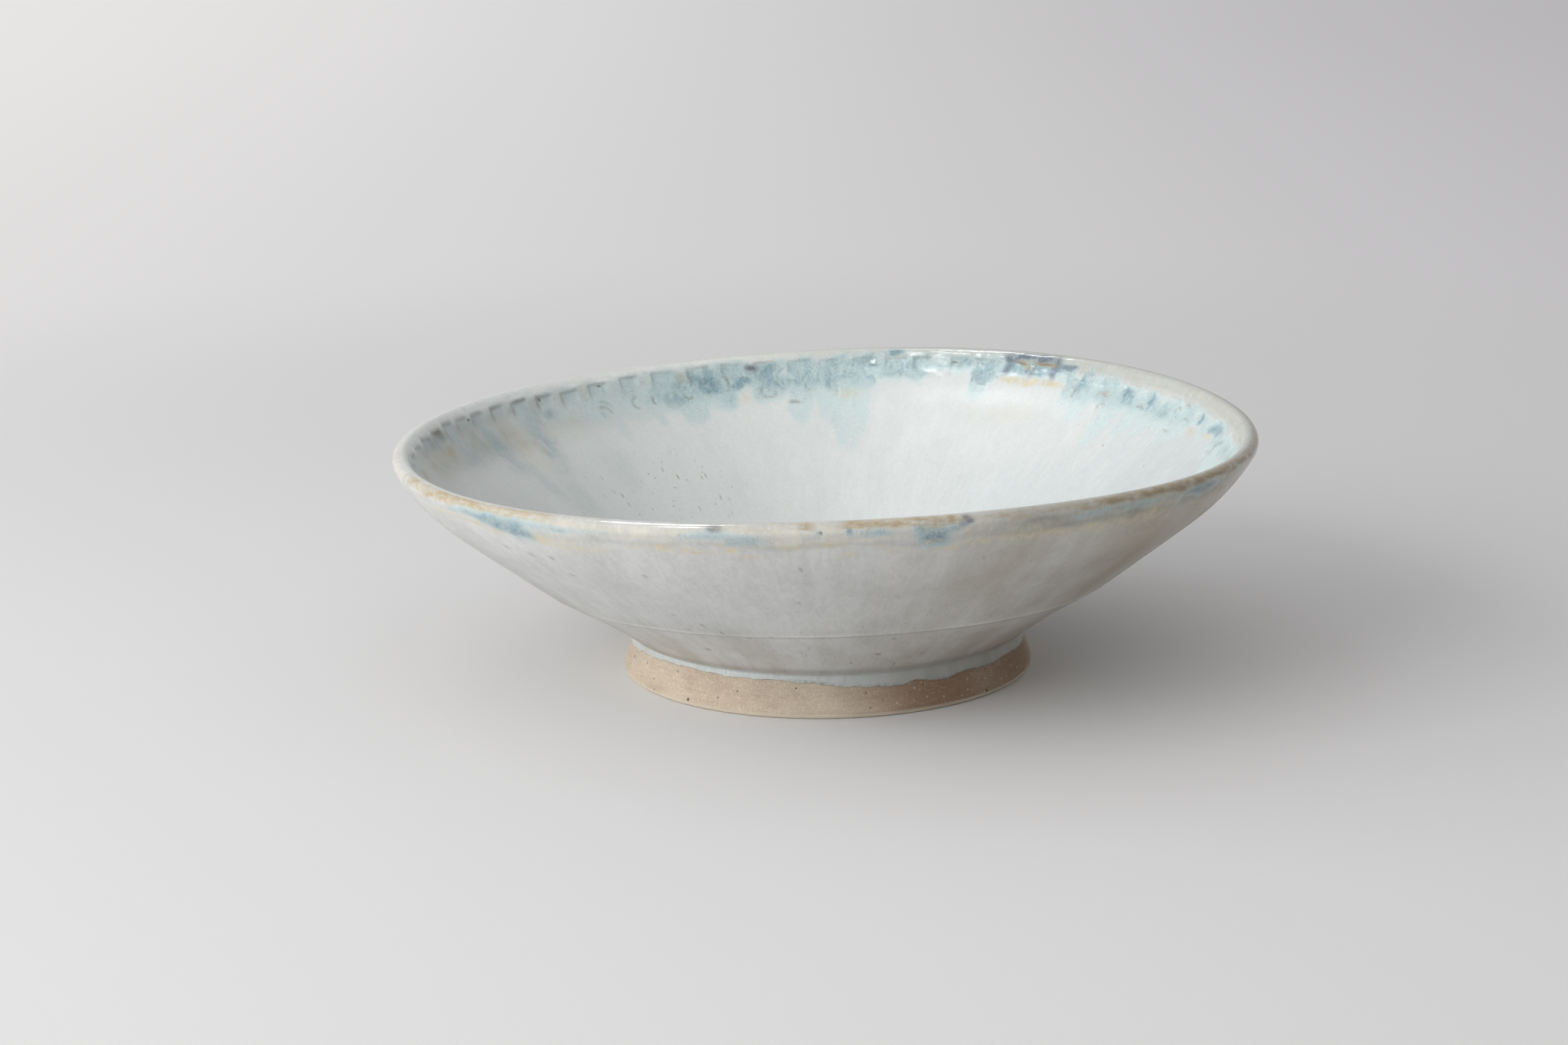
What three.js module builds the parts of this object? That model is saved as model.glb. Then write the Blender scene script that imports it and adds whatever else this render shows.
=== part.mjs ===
// Hand-thrown stoneware serving bowl on a bare clay foot, glazed inside and out,
// with a band of square impressions pressed into the clay just below the lip.
// Millimetres, +Z up. The origin is the middle of the foot, on the surface it stands on.

import * as THREE from 'three';

// Driving dimensions: the rim and the wall
const RIM_DIAMETER = 310;          // widest part of the lip, over the glaze
const RIM_HEIGHT = 87;             // crest of the lip above the table, taken round the whole rim
const WALL = 5.8;                  // wall and lip with the glaze on both sides
const GLAZE = 0.6;                 // thickness of each glaze coat
const WALL_SLOPE = 38.5;           // degrees from level, on the straight middle of the wall
const LIP_SLOPE = 60;              // degrees from level, where the wall reaches the lip
const LIP_BEND = 70;               // outer radius of the bend between those two slopes
const RIDGE_DIAMETER = 206;        // turning ridge where the upper wall meets the trimmed part
const TRIM_HOLLOW = 0.8;           // how far the trimmed part below the ridge is hollowed

// Driving dimensions: the inside
const FLOOR_HEIGHT = 23;           // inside bottom above the table
const WELL_BEND = 60;              // radius of the bend from the inside bottom to the wall

// Driving dimensions: the foot
const FOOT_HEIGHT = 14.5;
const FOOT_NECK_DIAMETER = 140.8;  // bare clay just under the bowl
const FOOT_TOE_DIAMETER = 148.6;   // widest part, near the table
const FOOT_BORE_TOP = 122;         // inside diameter under the bowl
const FOOT_BORE_BASE = 130;        // inside diameter at the table
const TOE_HEIGHT = 1.4;            // height of the widest part of the foot
const TOE_CHAMFER = 0.9;           // the toe is cut back by this much before it meets the table
const BORE_CHAMFER = 1.2;          // the inner edge of the foot is sponged away by this much
const FLARE_POWER = 1.6;           // 1 is a straight flare from neck to toe, more keeps it low down

// Driving dimensions: the glaze where it ends
const RIM_GLAZE_INSIDE = 18;       // how far the rim glaze runs down inside, from the crest
const RIM_GLAZE_OUTSIDE = 13;      // how far it runs down outside, from the crest
const FOOT_GLAZE_DROP = 4;         // how far the outer glaze runs down over the foot
const FOOT_BEAD = 1.1;             // thickness of the roll of glaze caught above the foot

// Driving dimensions: the impressed band
const MARK_COUNT = 68;
const MARK_TOP = 4.6;              // from the crest down to the band's upper edge
const MARK_HEIGHT = 11;            // from the band's upper edge to its lower one
const MARK_WIDTH = 9.2;            // flat floor of one impression
const MARK_BEVEL = 1.1;            // width of the slope above and below a floor
const MARK_DEPTH = 0.9;            // depth in the clay
const MARK_DEPTH_GLAZED = 0.55;    // depth that is left once the glaze has pooled in it
const FIRST_RIB_ANGLE = 0.7;       // degrees from +X to the first rib between two impressions

// Driving dimensions: the unevenness of a bowl made by hand
const RIM_TILT = 2.2;              // rise of the rim's high side and fall of the other
const RIM_TILT_ANGLE = -14;        // direction of the high side, in degrees from +X
const RIM_SADDLE = 1.4;            // two high and two low places
const RIM_SADDLE_ANGLE = 78;
const RIM_WAVE = 0.9;              // three high and three low places
const RIM_WAVE_ANGLE = 49;
const LEVEL_DIAMETER = 160;        // inside this everything is level, the foot included

// Facets: glazed faces that show are finer than faces between two layers
const SHOWN_COLUMNS = 96;
const BURIED_COLUMNS = 64;
const LIP_STEPS = 5;
const WELL_STEPS = 4;
const TRIM_STEPS = 3;
const TOE_STEPS = 3;

const turn = degrees => degrees * Math.PI / 180;

// Sections are drawn in (r, z), r from the bowl's axis. These are the radii that the sizes give.
const rimRadius = RIM_DIAMETER / 2;
const lipRound = WALL / 2;
const neckRadius = FOOT_NECK_DIAMETER / 2;
const toeRadius = FOOT_TOE_DIAMETER / 2;
const levelRadius = LEVEL_DIAMETER / 2;

const point = (r, z) => new THREE.Vector2(r, z);

// The outward face of a wall that leans outward at the given slope
function under(slope) {
  return point(Math.sin(turn(slope)), -Math.cos(turn(slope)));
}

// An arc in the section, by the slopes of the wall at its two ends
function wallArc(centre, radius, slopeFrom, slopeTo) {
  const from = turn(slopeFrom - 90);
  const to = turn(slopeTo - 90);
  return new THREE.EllipseCurve(centre.x, centre.y, radius, radius, from, to, to < from);
}

const endOf = curve => curve.getPoint(1);
const startOf = curve => curve.getPoint(0);

// Lip: a round crest whose two sides run tangent into the inner and the outer wall
const lipCentre = point(rimRadius - lipRound, RIM_HEIGHT - lipRound);
const bendCentre = lipCentre.clone().addScaledVector(under(LIP_SLOPE), lipRound - LIP_BEND);
const outerBend = wallArc(bendCentre, LIP_BEND, LIP_SLOPE, WALL_SLOPE);
const innerBend = wallArc(bendCentre, LIP_BEND - WALL, WALL_SLOPE, LIP_SLOPE);
const lipArc = wallArc(lipCentre, lipRound, LIP_SLOPE + 180, LIP_SLOPE);

// Inner face: a level bottom, a wide bend, then the straight wall up to the bend under the lip
const straightTop = startOf(innerBend);
const wellTangent = WELL_BEND * Math.tan(turn(WALL_SLOPE / 2));
const wallFoot = straightTop.x - (straightTop.y - FLOOR_HEIGHT) / Math.tan(turn(WALL_SLOPE));
const wellEdge = point(wallFoot - wellTangent, FLOOR_HEIGHT);
const wellArc = wallArc(point(wellEdge.x, FLOOR_HEIGHT + WELL_BEND), WELL_BEND, 0, WALL_SLOPE);

// Outer face: straight down to the turning ridge, then hollow down to the groove over the foot
const coneTop = endOf(outerBend);
const ridgeRadius = RIDGE_DIAMETER / 2;
const ridge = point(ridgeRadius, coneTop.y - (coneTop.x - ridgeRadius) * Math.tan(turn(WALL_SLOPE)));
const neckClay = point(neckRadius, FOOT_HEIGHT);
const trimSlope = Math.atan2(ridge.y - FOOT_HEIGHT, ridge.x - neckRadius) * 180 / Math.PI;
const trimUnder = under(trimSlope);
const groove = neckClay.clone().add(point(GLAZE, GLAZE * trimUnder.y / (1 + trimUnder.x)));
const trimMiddle = ridge.clone().lerp(groove, 0.5).addScaledVector(trimUnder, -2 * TRIM_HOLLOW);
const trimCurve = new THREE.QuadraticBezierCurve(ridge, trimMiddle, groove);

// Foot: nearly upright under the bowl, flaring into the toe
function footSide(height) {
  const down = (FOOT_HEIGHT - height) / (FOOT_HEIGHT - TOE_HEIGHT);
  return point(neckRadius + (toeRadius - neckRadius) * down ** FLARE_POWER, height);
}

// A row is one place in the section of a glaze coat: its face, and the clay beneath it
function row(curve, share) {
  const face = curve.getPoint(share);
  const along = curve.getTangent(share);
  const out = point(-along.y, along.x);
  return { face, out, clay: face.clone().addScaledVector(out, -GLAZE) };
}

// Rows at even steps of a curve, from its start to its end
function rows(curve, steps) {
  const list = [];
  for (let step = 0; step <= steps; step += 1) list.push(row(curve, step / steps));
  return list;
}

// Rows on the inner bend, by their distance from the crest of the lip
const innerLipLength = lipRound * turn(LIP_SLOPE);
function rowBelowCrest(distance) {
  const share = 1 - (distance - innerLipLength) / innerBend.getLength();
  return row(innerBend, share);
}

// The row on the outer bend where the rim glaze ends
const outerLipLength = lipRound * turn(180 - LIP_SLOPE);
const outsideShare = (RIM_GLAZE_OUTSIDE - outerLipLength) / outerBend.getLength();

// All rows of the glazed section, from the middle of the bottom over the lip to the foot
const innerEdge = rowBelowCrest(RIM_GLAZE_INSIDE);
const outerEdge = row(outerBend, outsideShare);
const innerRows = [
  ...rows(wellArc, WELL_STEPS),
  row(innerBend, 0),
  innerEdge,
];
const bandRows = {
  lower: rowBelowCrest(MARK_TOP + MARK_HEIGHT),
  floorLow: rowBelowCrest(MARK_TOP + MARK_HEIGHT - MARK_BEVEL),
  floorHigh: rowBelowCrest(MARK_TOP + MARK_BEVEL),
  upper: rowBelowCrest(MARK_TOP),
};
const lipRows = rows(lipArc, LIP_STEPS);
const outerRows = [
  outerEdge,
  row(outerBend, (1 + outsideShare) / 2),
  row(outerBend, 1),
  ...rows(trimCurve, TRIM_STEPS).slice(0, -1),
];
const grooveRow = { face: groove, clay: neckClay };

// How far a place is lifted by the unevenness of the rim, nothing at the foot and all at the lip
function lift(r, angle) {
  const share = Math.max(0, (r - levelRadius) / (rimRadius - levelRadius));
  const tilt = RIM_TILT * Math.cos(angle - turn(RIM_TILT_ANGLE));
  const saddle = RIM_SADDLE * Math.cos(2 * (angle - turn(RIM_SADDLE_ANGLE)));
  const wave = RIM_WAVE * Math.cos(3 * (angle - turn(RIM_WAVE_ANGLE)));
  return share * (tilt + saddle + wave);
}

// A place on a ring: share is the part of the turn from the first rib
function place(at, share) {
  const angle = turn(FIRST_RIB_ANGLE + 360 * share);
  const x = at.x * Math.cos(angle);
  const y = at.x * Math.sin(angle);
  return { share, at: new THREE.Vector3(x, y, at.y + lift(at.x, angle)) };
}

// A plain ring of places at one radius and height, or the single place where it meets the axis
function ring(at, columns) {
  if (at.x === 0) return { r: 0, z: at.y, places: [place(at, 0)] };
  const places = [];
  for (let column = 0; column < columns; column += 1) places.push(place(at, column / columns));
  return { r: at.x, z: at.y, places };
}

// A ring through the impressions: for each, a rib left at the surface and a floor pressed in
function markRing(at, out, depth) {
  const pitch = 2 * Math.PI * at.x / MARK_COUNT;
  const bevel = (1 - MARK_WIDTH / pitch) / 2;
  const floor = at.clone().addScaledVector(out, -depth);
  const places = [];
  for (let mark = 0; mark < MARK_COUNT; mark += 1) {
    places.push(place(at, mark / MARK_COUNT));
    places.push(place(floor, (mark + bevel) / MARK_COUNT));
    places.push(place(floor, (mark + 1 - bevel) / MARK_COUNT));
  }
  return { r: at.x, z: at.y, places };
}

// Triangles between two rings, which may differ in their number of columns. The finer ring, or
// else the wider or higher one, leads, so that two solids that share both rings share the faces.
function strip(a, b, triangle) {
  const order = (a.places.length - b.places.length) || (a.r - b.r) || (a.z - b.z);
  const shareAfter = (list, index) => (index + 1 < list.length ? list[index + 1].share : 1);
  const last = { a: a.places.length, b: b.places.length };
  let i = a.places.length === 1 ? last.a : 0;
  let j = b.places.length === 1 ? last.b : 0;
  while (i < last.a || j < last.b) {
    const nextA = i < last.a ? shareAfter(a.places, i) : Infinity;
    const nextB = j < last.b ? shareAfter(b.places, j) : Infinity;
    const takeA = nextA < nextB || (nextA === nextB && order > 0);
    const here = a.places[i % last.a].at;
    const there = b.places[j % last.b].at;
    if (takeA) {
      i += 1;
      triangle(here, a.places[i % last.a].at, there);
    } else {
      j += 1;
      triangle(here, b.places[j % last.b].at, there);
    }
  }
}

// A closed solid from rings that go round its section anticlockwise, +r to the right and +z up
function turned(name, material, rings) {
  const positions = [];
  const triangle = (...corners) => corners.forEach(corner => positions.push(corner.x, corner.y, corner.z));
  const closes = rings[0].r > 0;
  const count = closes ? rings.length : rings.length - 1;
  for (let k = 0; k < count; k += 1) strip(rings[k], rings[(k + 1) % rings.length], triangle);
  const geometry = new THREE.BufferGeometry();
  geometry.setAttribute('position', new THREE.Float32BufferAttribute(positions, 3));
  geometry.computeVertexNormals();
  const mesh = new THREE.Mesh(geometry, material);
  mesh.name = name;
  return mesh;
}

const buried = entry => ring(entry.clay, BURIED_COLUMNS);
const shown = entry => ring(entry.face, SHOWN_COLUMNS);

// The impressed band as rings of the clay, and as rings of the glaze face over it
const bandClay = [
  buried(bandRows.lower),
  markRing(bandRows.floorLow.clay, bandRows.floorLow.out, MARK_DEPTH),
  markRing(bandRows.floorHigh.clay, bandRows.floorHigh.out, MARK_DEPTH),
  buried(bandRows.upper),
];
const bandFace = [
  shown(bandRows.lower),
  markRing(bandRows.floorLow.face, bandRows.floorLow.out, MARK_DEPTH_GLAZED),
  markRing(bandRows.floorHigh.face, bandRows.floorHigh.out, MARK_DEPTH_GLAZED),
  shown(bandRows.upper),
];

const innerClay = innerRows.map(buried);
const lipClay = lipRows.map(buried);
const outerClay = outerRows.map(buried);
const neckRing = buried(grooveRow);

const clay = new THREE.MeshStandardMaterial({ color: '#b9a587', roughness: 0.9, metalness: 0 });
const footClay = new THREE.MeshStandardMaterial({ color: '#c8b698', roughness: 0.9, metalness: 0 });
const innerGlazeFinish = new THREE.MeshStandardMaterial({ color: '#dfe3e2', roughness: 0.45, metalness: 0 });
const outerGlazeFinish = new THREE.MeshStandardMaterial({ color: '#c9cbc9', roughness: 0.5, metalness: 0 });
const rimGlazeFinish = new THREE.MeshStandardMaterial({ color: '#a9c3c8', roughness: 0.25, metalness: 0 });

// The thrown clay bowl, from the middle of its underside round to the middle of its inside
function bowlBody() {
  const rings = [
    ring(point(0, FOOT_HEIGHT), 1),
    neckRing,
    ...[...outerClay].reverse(),
    ...[...lipClay].reverse(),
    ...[...bandClay].reverse(),
    ...[...innerClay].reverse(),
    ring(point(0, FLOOR_HEIGHT - GLAZE), 1),
  ];
  return turned('bowl_body', clay, rings);
}

// The pale glaze poured inside, up to where the rim glaze starts
function innerGlaze() {
  const rings = [
    ring(point(0, FLOOR_HEIGHT - GLAZE), 1),
    ...innerClay,
    ...innerRows.map(shown).reverse(),
    ring(point(0, FLOOR_HEIGHT), 1),
  ];
  return turned('inner_glaze', innerGlazeFinish, rings);
}

// The blue and cream glaze over the lip, pooled in the impressions
function rimGlaze() {
  const rings = [
    buried(innerEdge),
    ...bandClay,
    ...lipClay,
    buried(outerEdge),
    shown(outerEdge),
    ...lipRows.map(shown).reverse(),
    ...[...bandFace].reverse(),
    shown(innerEdge),
  ];
  return turned('rim_glaze', rimGlazeFinish, rings);
}

// The foot's side where the outer glaze ends, and the roll of glaze above that line
const glazeEnd = footSide(FOOT_HEIGHT - FOOT_GLAZE_DROP);
const glazeEndRing = ring(glazeEnd, BURIED_COLUMNS);
const beadMiddle = footSide(FOOT_HEIGHT - FOOT_GLAZE_DROP / 2).add(point(FOOT_BEAD, 0));
const beadLow = glazeEnd.clone().add(point(FOOT_BEAD / 2, 0));

// The grey-white glaze outside, from the rim glaze over the groove onto the top of the foot
function outerGlaze() {
  const rings = [
    ...outerClay,
    neckRing,
    glazeEndRing,
    ring(beadLow, SHOWN_COLUMNS),
    ring(beadMiddle, SHOWN_COLUMNS),
    ring(groove, SHOWN_COLUMNS),
    ...outerRows.map(shown).reverse(),
  ];
  return turned('outer_glaze', outerGlazeFinish, rings);
}

// The bare clay ring that the bowl stands on
function footRing() {
  const boreTop = point(FOOT_BORE_TOP / 2, FOOT_HEIGHT);
  const boreBase = point(FOOT_BORE_BASE / 2, BORE_CHAMFER);
  const bareStep = (glazeEnd.y - TOE_HEIGHT) / TOE_STEPS;
  const bareRings = [];
  for (let step = 0; step < TOE_STEPS; step += 1) {
    bareRings.push(ring(footSide(TOE_HEIGHT + step * bareStep), SHOWN_COLUMNS));
  }
  const rings = [
    ring(boreTop, BURIED_COLUMNS),
    ring(boreBase, BURIED_COLUMNS),
    ring(point(boreBase.x + BORE_CHAMFER, 0), BURIED_COLUMNS),
    ring(point(toeRadius - TOE_CHAMFER, 0), SHOWN_COLUMNS),
    ...bareRings,
    glazeEndRing,
    neckRing,
  ];
  return turned('foot_ring', footClay, rings);
}

const bowl = new THREE.Group();
bowl.add(bowlBody(), footRing(), innerGlaze(), rimGlaze(), outerGlaze());

export default bowl;
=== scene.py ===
# %% [markdown]
# # A footed stoneware bowl
#
# This lesson dresses a measured model of a hand-thrown stoneware bowl. The measured
# model is exact but plain: five coarse solids. Each is replaced by a fine mesh that is
# drawn, spun and pressed the way the potter made it, and is then glazed with materials
# built from nodes.
#
# All lengths are metres. +Z is up, the bowl stands on Z = 0, and the side that the
# camera sees is the -Y side.

# %% Load the measured model
import math
import bpy
import numpy as np
from mathutils import Matrix, Vector


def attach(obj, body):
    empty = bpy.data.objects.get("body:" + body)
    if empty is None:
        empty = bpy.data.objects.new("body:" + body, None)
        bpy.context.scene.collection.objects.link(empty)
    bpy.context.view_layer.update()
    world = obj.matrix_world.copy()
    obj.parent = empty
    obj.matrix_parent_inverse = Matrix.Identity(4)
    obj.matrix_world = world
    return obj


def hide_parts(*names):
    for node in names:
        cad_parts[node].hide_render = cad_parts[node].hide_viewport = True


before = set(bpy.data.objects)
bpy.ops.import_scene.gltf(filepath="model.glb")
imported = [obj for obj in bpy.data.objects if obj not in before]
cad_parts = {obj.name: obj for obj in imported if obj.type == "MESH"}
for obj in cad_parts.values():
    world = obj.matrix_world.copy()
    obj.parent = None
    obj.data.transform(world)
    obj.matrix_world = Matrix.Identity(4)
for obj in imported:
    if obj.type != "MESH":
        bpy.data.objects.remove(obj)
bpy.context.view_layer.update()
print("measured solids:", ", ".join(sorted(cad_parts)))

# %% [markdown]
# ## The sizes
#
# A thrown bowl is described by one half section, turned round the axis. These are the
# sizes of that section. The fine meshes take the same numbers as the measured solids, so
# they lie on them everywhere.

# %% Sizes of the section
MM = 0.001
RIM_RADIUS = 155 * MM        # widest part of the lip
RIM_HEIGHT = 87 * MM         # crest of the lip, taken round the whole rim
WALL = 5.8 * MM              # wall and lip, with the glaze on both sides
GLAZE = 0.6 * MM             # one coat of glaze
WALL_SLOPE = 38.5            # degrees from level, on the straight of the wall
LIP_SLOPE = 60               # degrees from level, where the wall meets the lip
LIP_BEND = 70 * MM           # outer radius of the bend between those two slopes
RIDGE_RADIUS = 105 * MM      # turning ridge, where the trimmed part starts
TRIM_HOLLOW = 0.8 * MM       # how far the trimmed part is hollowed
FLOOR_HEIGHT = 23 * MM       # inside bottom
WELL_BEND = 60 * MM          # bend from the bottom to the wall
FOOT_HEIGHT = 14.5 * MM
NECK_RADIUS = 70.4 * MM      # bare clay just under the bowl
NECK_HEIGHT = 13.2 * MM      # where the neck's straight side starts
TOE_RADIUS = 74.3 * MM       # widest part of the foot
TOE_HEIGHT = 2 * MM
SHOULDER_RADIUS = 71.0 * MM  # where the foot's side turns in to the neck
SHOULDER_HEIGHT = 11.6 * MM
BORE_TOP = 61 * MM           # inside of the foot, under the bowl
BORE_BASE = 65 * MM          # and at the table
BORE_CHAMFER = 1.2 * MM
FLARE_POWER = 1.1            # more than 1 makes the side swell towards the toe
print(f"bowl {2 * RIM_RADIUS / MM:.0f} mm wide, {RIM_HEIGHT / MM:.0f} mm high")

# %% [markdown]
# ## The half section as two lines
#
# Both lines start at the crest of the lip. One runs down the inside to the middle of the
# floor, the other down the outside to the groove over the foot. Arcs are given by the
# slope of the wall at their two ends, because that is what a potter's rib sets. A place
# on the surface is then one number: its distance from the crest along the line, counted
# positive inside and negative outside. The glaze patterns use the same number, because
# glaze runs down from the lip.

# %% Arcs and lines of the section
def facing(slope):
    """Outward face of a wall that leans out at this slope, as (r, z)."""
    turn = math.radians(slope)
    return np.array([math.sin(turn), -math.cos(turn)])


def arc(centre, radius, start, end, steps=160):
    return np.array([centre + radius * facing(s) for s in np.linspace(start, end, steps + 1)])


class Line:
    """A line of the section, which gives the place and the outward face at any distance."""

    def __init__(self, parts, side):
        points = np.vstack(parts)
        steps = np.hypot(*np.diff(points, axis=0).T)
        keep = np.append(True, steps > 1e-9)
        self.points = points[keep]
        self.length = np.append(0, np.cumsum(np.hypot(*np.diff(self.points, axis=0).T)))
        self.side = side

    def at(self, distance):
        r = np.interp(distance, self.length, self.points[:, 0])
        z = np.interp(distance, self.length, self.points[:, 1])
        return np.stack([r, z], -1)

    def out(self, distance, reach=0.15 * MM):
        ahead = self.at(np.minimum(distance + reach, self.length[-1]))
        behind = self.at(np.maximum(distance - reach, 0))
        step = ahead - behind
        step /= np.maximum(np.hypot(step[..., 0], step[..., 1]), 1e-12)[..., None]
        return self.side * np.stack([-step[..., 1], step[..., 0]], -1)


# %% The inner and the outer line
lip_round = WALL / 2
lip_centre = np.array([RIM_RADIUS - lip_round, RIM_HEIGHT - lip_round])
bend_centre = lip_centre + facing(LIP_SLOPE) * (lip_round - LIP_BEND)
inner_bend = arc(bend_centre, LIP_BEND - WALL, LIP_SLOPE, WALL_SLOPE)
outer_bend = arc(bend_centre, LIP_BEND, LIP_SLOPE, WALL_SLOPE)
steep = math.tan(math.radians(WALL_SLOPE))

wall_foot = inner_bend[-1][0] - (inner_bend[-1][1] - FLOOR_HEIGHT) / steep
well_edge = wall_foot - WELL_BEND * math.tan(math.radians(WALL_SLOPE / 2))
well = arc(np.array([well_edge, FLOOR_HEIGHT + WELL_BEND]), WELL_BEND, WALL_SLOPE, 0)
inner_lip = arc(lip_centre, lip_round, 180, 180 + LIP_SLOPE)
inner = Line([inner_lip, inner_bend, well, [[0, FLOOR_HEIGHT]]], -1)

ridge = np.array([RIDGE_RADIUS, outer_bend[-1][1] - (outer_bend[-1][0] - RIDGE_RADIUS) * steep])
neck = np.array([NECK_RADIUS, FOOT_HEIGHT])
trim_slope = math.degrees(math.atan2(ridge[1] - neck[1], ridge[0] - neck[0]))
trim_face = facing(trim_slope)
groove = neck + GLAZE * np.array([1, trim_face[1] / (1 + trim_face[0])])
trim_middle = (ridge + groove) / 2 - 2 * TRIM_HOLLOW * trim_face
share = np.linspace(0, 1, 200)[:, None]
trim = (1 - share) ** 2 * ridge + 2 * share * (1 - share) * trim_middle + share ** 2 * groove
outer = Line([arc(lip_centre, lip_round, 180, LIP_SLOPE), outer_bend, trim], 1)
print(f"inner line {inner.length[-1] / MM:.1f} mm, outer line {outer.length[-1] / MM:.1f} mm")


# %% Any place of the section by its distance from the crest
def surface(distance):
    """(r, z) of the glazed face, inside for a positive distance and outside for a negative one."""
    distance = np.asarray(distance, float)
    return np.where(distance[..., None] >= 0, inner.at(distance), outer.at(-distance))


def outward(distance):
    """Outward face of the wall at that place, as (r, z)."""
    distance = np.asarray(distance, float)
    return np.where(distance[..., None] >= 0, inner.out(distance), outer.out(-distance))


# %% [markdown]
# ## What the hands left
#
# A bowl made by hand isn't round in the way a lathe part is. Its rim stands a little
# higher on one side and waves gently, and this fades to nothing at the foot. The
# throwing also leaves faint rings. Both are small moves of the finished mesh.
#
# Random numbers settle what can't be seen. They come from a seeded generator, so every
# run gives the same bowl.

# %% Lift of the rim
LEVEL_RADIUS = 80 * MM       # the wall is level inside this
SWINGS = [(1, 2.2, -14), (2, 1.4, 78), (3, 0.9, 49)]   # waves round the rim, mm high, crest in degrees


def lift(r, angle):
    """How far a place is raised by the unevenness of the rim. The angle is in radians."""
    share = np.maximum(0, (r - LEVEL_RADIUS) / (RIM_RADIUS - LEVEL_RADIUS))
    swings = [high * np.cos(waves * (angle - math.radians(crest))) for waves, high, crest in SWINGS]
    return share * sum(swings) * MM


# %% Smooth steps, tables round the bowl and seeded clouds
def ease(t):
    """0 at 0 and 1 at 1, level at both ends."""
    return t * t * (3 - 2 * t)


def rise(value, low, high):
    """0 below low, 1 above high, and smooth between."""
    return ease(np.clip((np.asarray(value) - low) / (high - low), 0, 1))


def band(value, low, full, fading, gone):
    """Rises from low to full, and falls again from fading to gone."""
    return rise(value, low, full) * (1 - rise(value, fading, gone))


def along(degrees, table):
    """A value that changes round the bowl, from a table of (degrees, value)."""
    return np.interp(degrees, *np.array(table, float).T, period=360)


def turn_from(degrees, centre):
    """Degrees from a centre, the shorter way round the bowl."""
    return (degrees - centre + 180) % 360 - 180


CLOUD_ROWS = 512
CREST_ROW = 200              # rows before it are the outside, rows after it the inside


def cloud(seed, degrees, distance, across, down):
    """Smooth random field from -1 to 1 over the unrolled wall, closed round the bowl.
    across is the size of its spots in degrees, down their length in metres."""
    columns = max(3, round(360 / across))
    lattice = np.random.default_rng(seed).uniform(-1, 1, (columns, CLOUD_ROWS))
    u = np.asarray(degrees) / 360 * columns
    v = np.asarray(distance) / down + CREST_ROW
    i, j = np.floor(u).astype(int), np.floor(v).astype(int)
    fu, fv = ease(u - i), ease(v - j)
    left, right = i % columns, (i + 1) % columns
    above, below = j % CLOUD_ROWS, (j + 1) % CLOUD_ROWS
    a = lattice[left, above] * (1 - fu) + lattice[right, above] * fu
    b = lattice[left, below] * (1 - fu) + lattice[right, below] * fu
    return a * (1 - fv) + b * fv


def wander(seed, degrees, across):
    """A cloud that only changes round the bowl, not down the wall."""
    return cloud(seed, degrees, 0, across, 1)


def ridge_wear(degrees):
    """How crisp the turning ridge is, round the bowl."""
    return 0.7 + 0.3 * wander(4, degrees, 9)


# %% [markdown]
# ## The impressed band
#
# Just below the lip the potter pressed the end of a square stick into the soft clay, 68
# times round. It went in deepest at its upper edge, and its left edge cut sharper than
# its right one. Under that row comes a fainter row of small round stamps. Both are
# written here as functions that say how deep the surface is pressed at a place. The
# glaze asks the same functions later, so that it breaks over the same edges.

# %% The marks
MARK_COUNT = 68
MARK_DEPTH = 0.7 * MM
MARK_WIDTH = 9.8 * MM
LEFT_SIDE, RIGHT_SIDE = 0.9 * MM, 2.6 * MM     # how wide a mark's two sides slope
TOP_SIDE = (-0.2 * MM, 0.8 * MM)               # where its upper edge drops
FADE = (0.8 * MM, 9 * MM)                      # and where its floor comes up again
BAND_END = 30 * MM                             # nothing is pressed below this
# Upper edge of the row, in mm from the crest, round the bowl.
MARK_TOPS = [
    (0, 7.6), (20, 7.4), (35, 7.8), (45, 7), (51, 4.8), (60, 5), (72, 5.2), (90, 5.4), (105, 4.7),
    (117, 4.6), (123, 5), (129, 5.7), (134, 6.6), (140, 6.2), (150, 6), (156, 5.6), (165, 5), (176, 5),
    (230, 6), (300, 6.6),
]
# How far the upper edge falls to the right.
MARK_SLANTS = [
    (0, -0.02), (100, 0), (125, 0.02), (139, -0.03), (145, -0.05), (155, 0), (160, 0.03), (164, 0.05),
    (168.9, 0.17), (174, 0.14), (180, 0.1), (230, 0),
]
# How open the glaze left the marks.
OPEN_MARKS = [
    (0, 0.35), (40, 0.35), (60, 0.45), (90, 0.4), (112, 0.55), (130, 0.9), (176, 1), (230, 0.8),
    (300, 0.55),
]
# The left upper corners that show, in degrees. The others are spaced evenly.
SEEN_CORNERS = [
    174, 168.9, 164, 159.6, 155, 149.8, 144.7, 139.2, 134.2, 128.6, 122.8, 117.2, 111.2, 105.6, 100.4,
    95, 90, 84.7, 79.5, 75, 69, 65, 60, 55.2, 50.9, 46.3, 41.2, 36.4, 31, 26, 21, 15.8, 10.5,
]
hand = np.random.default_rng(68)
unseen = MARK_COUNT - len(SEEN_CORNERS)
last, first = SEEN_CORNERS[-1], SEEN_CORNERS[0] - 360
unseen_corners = np.linspace(last, first, unseen + 2)[1:-1] + hand.uniform(-0.4, 0.4, unseen)
corners = np.append(SEEN_CORNERS, unseen_corners)            # falling from 174 to -186 degrees
mark_top = along(corners % 360, MARK_TOPS) * MM + hand.uniform(-0.25, 0.25, MARK_COUNT) * MM
mark_width = MARK_WIDTH * hand.uniform(0.88, 1.06, MARK_COUNT)
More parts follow.
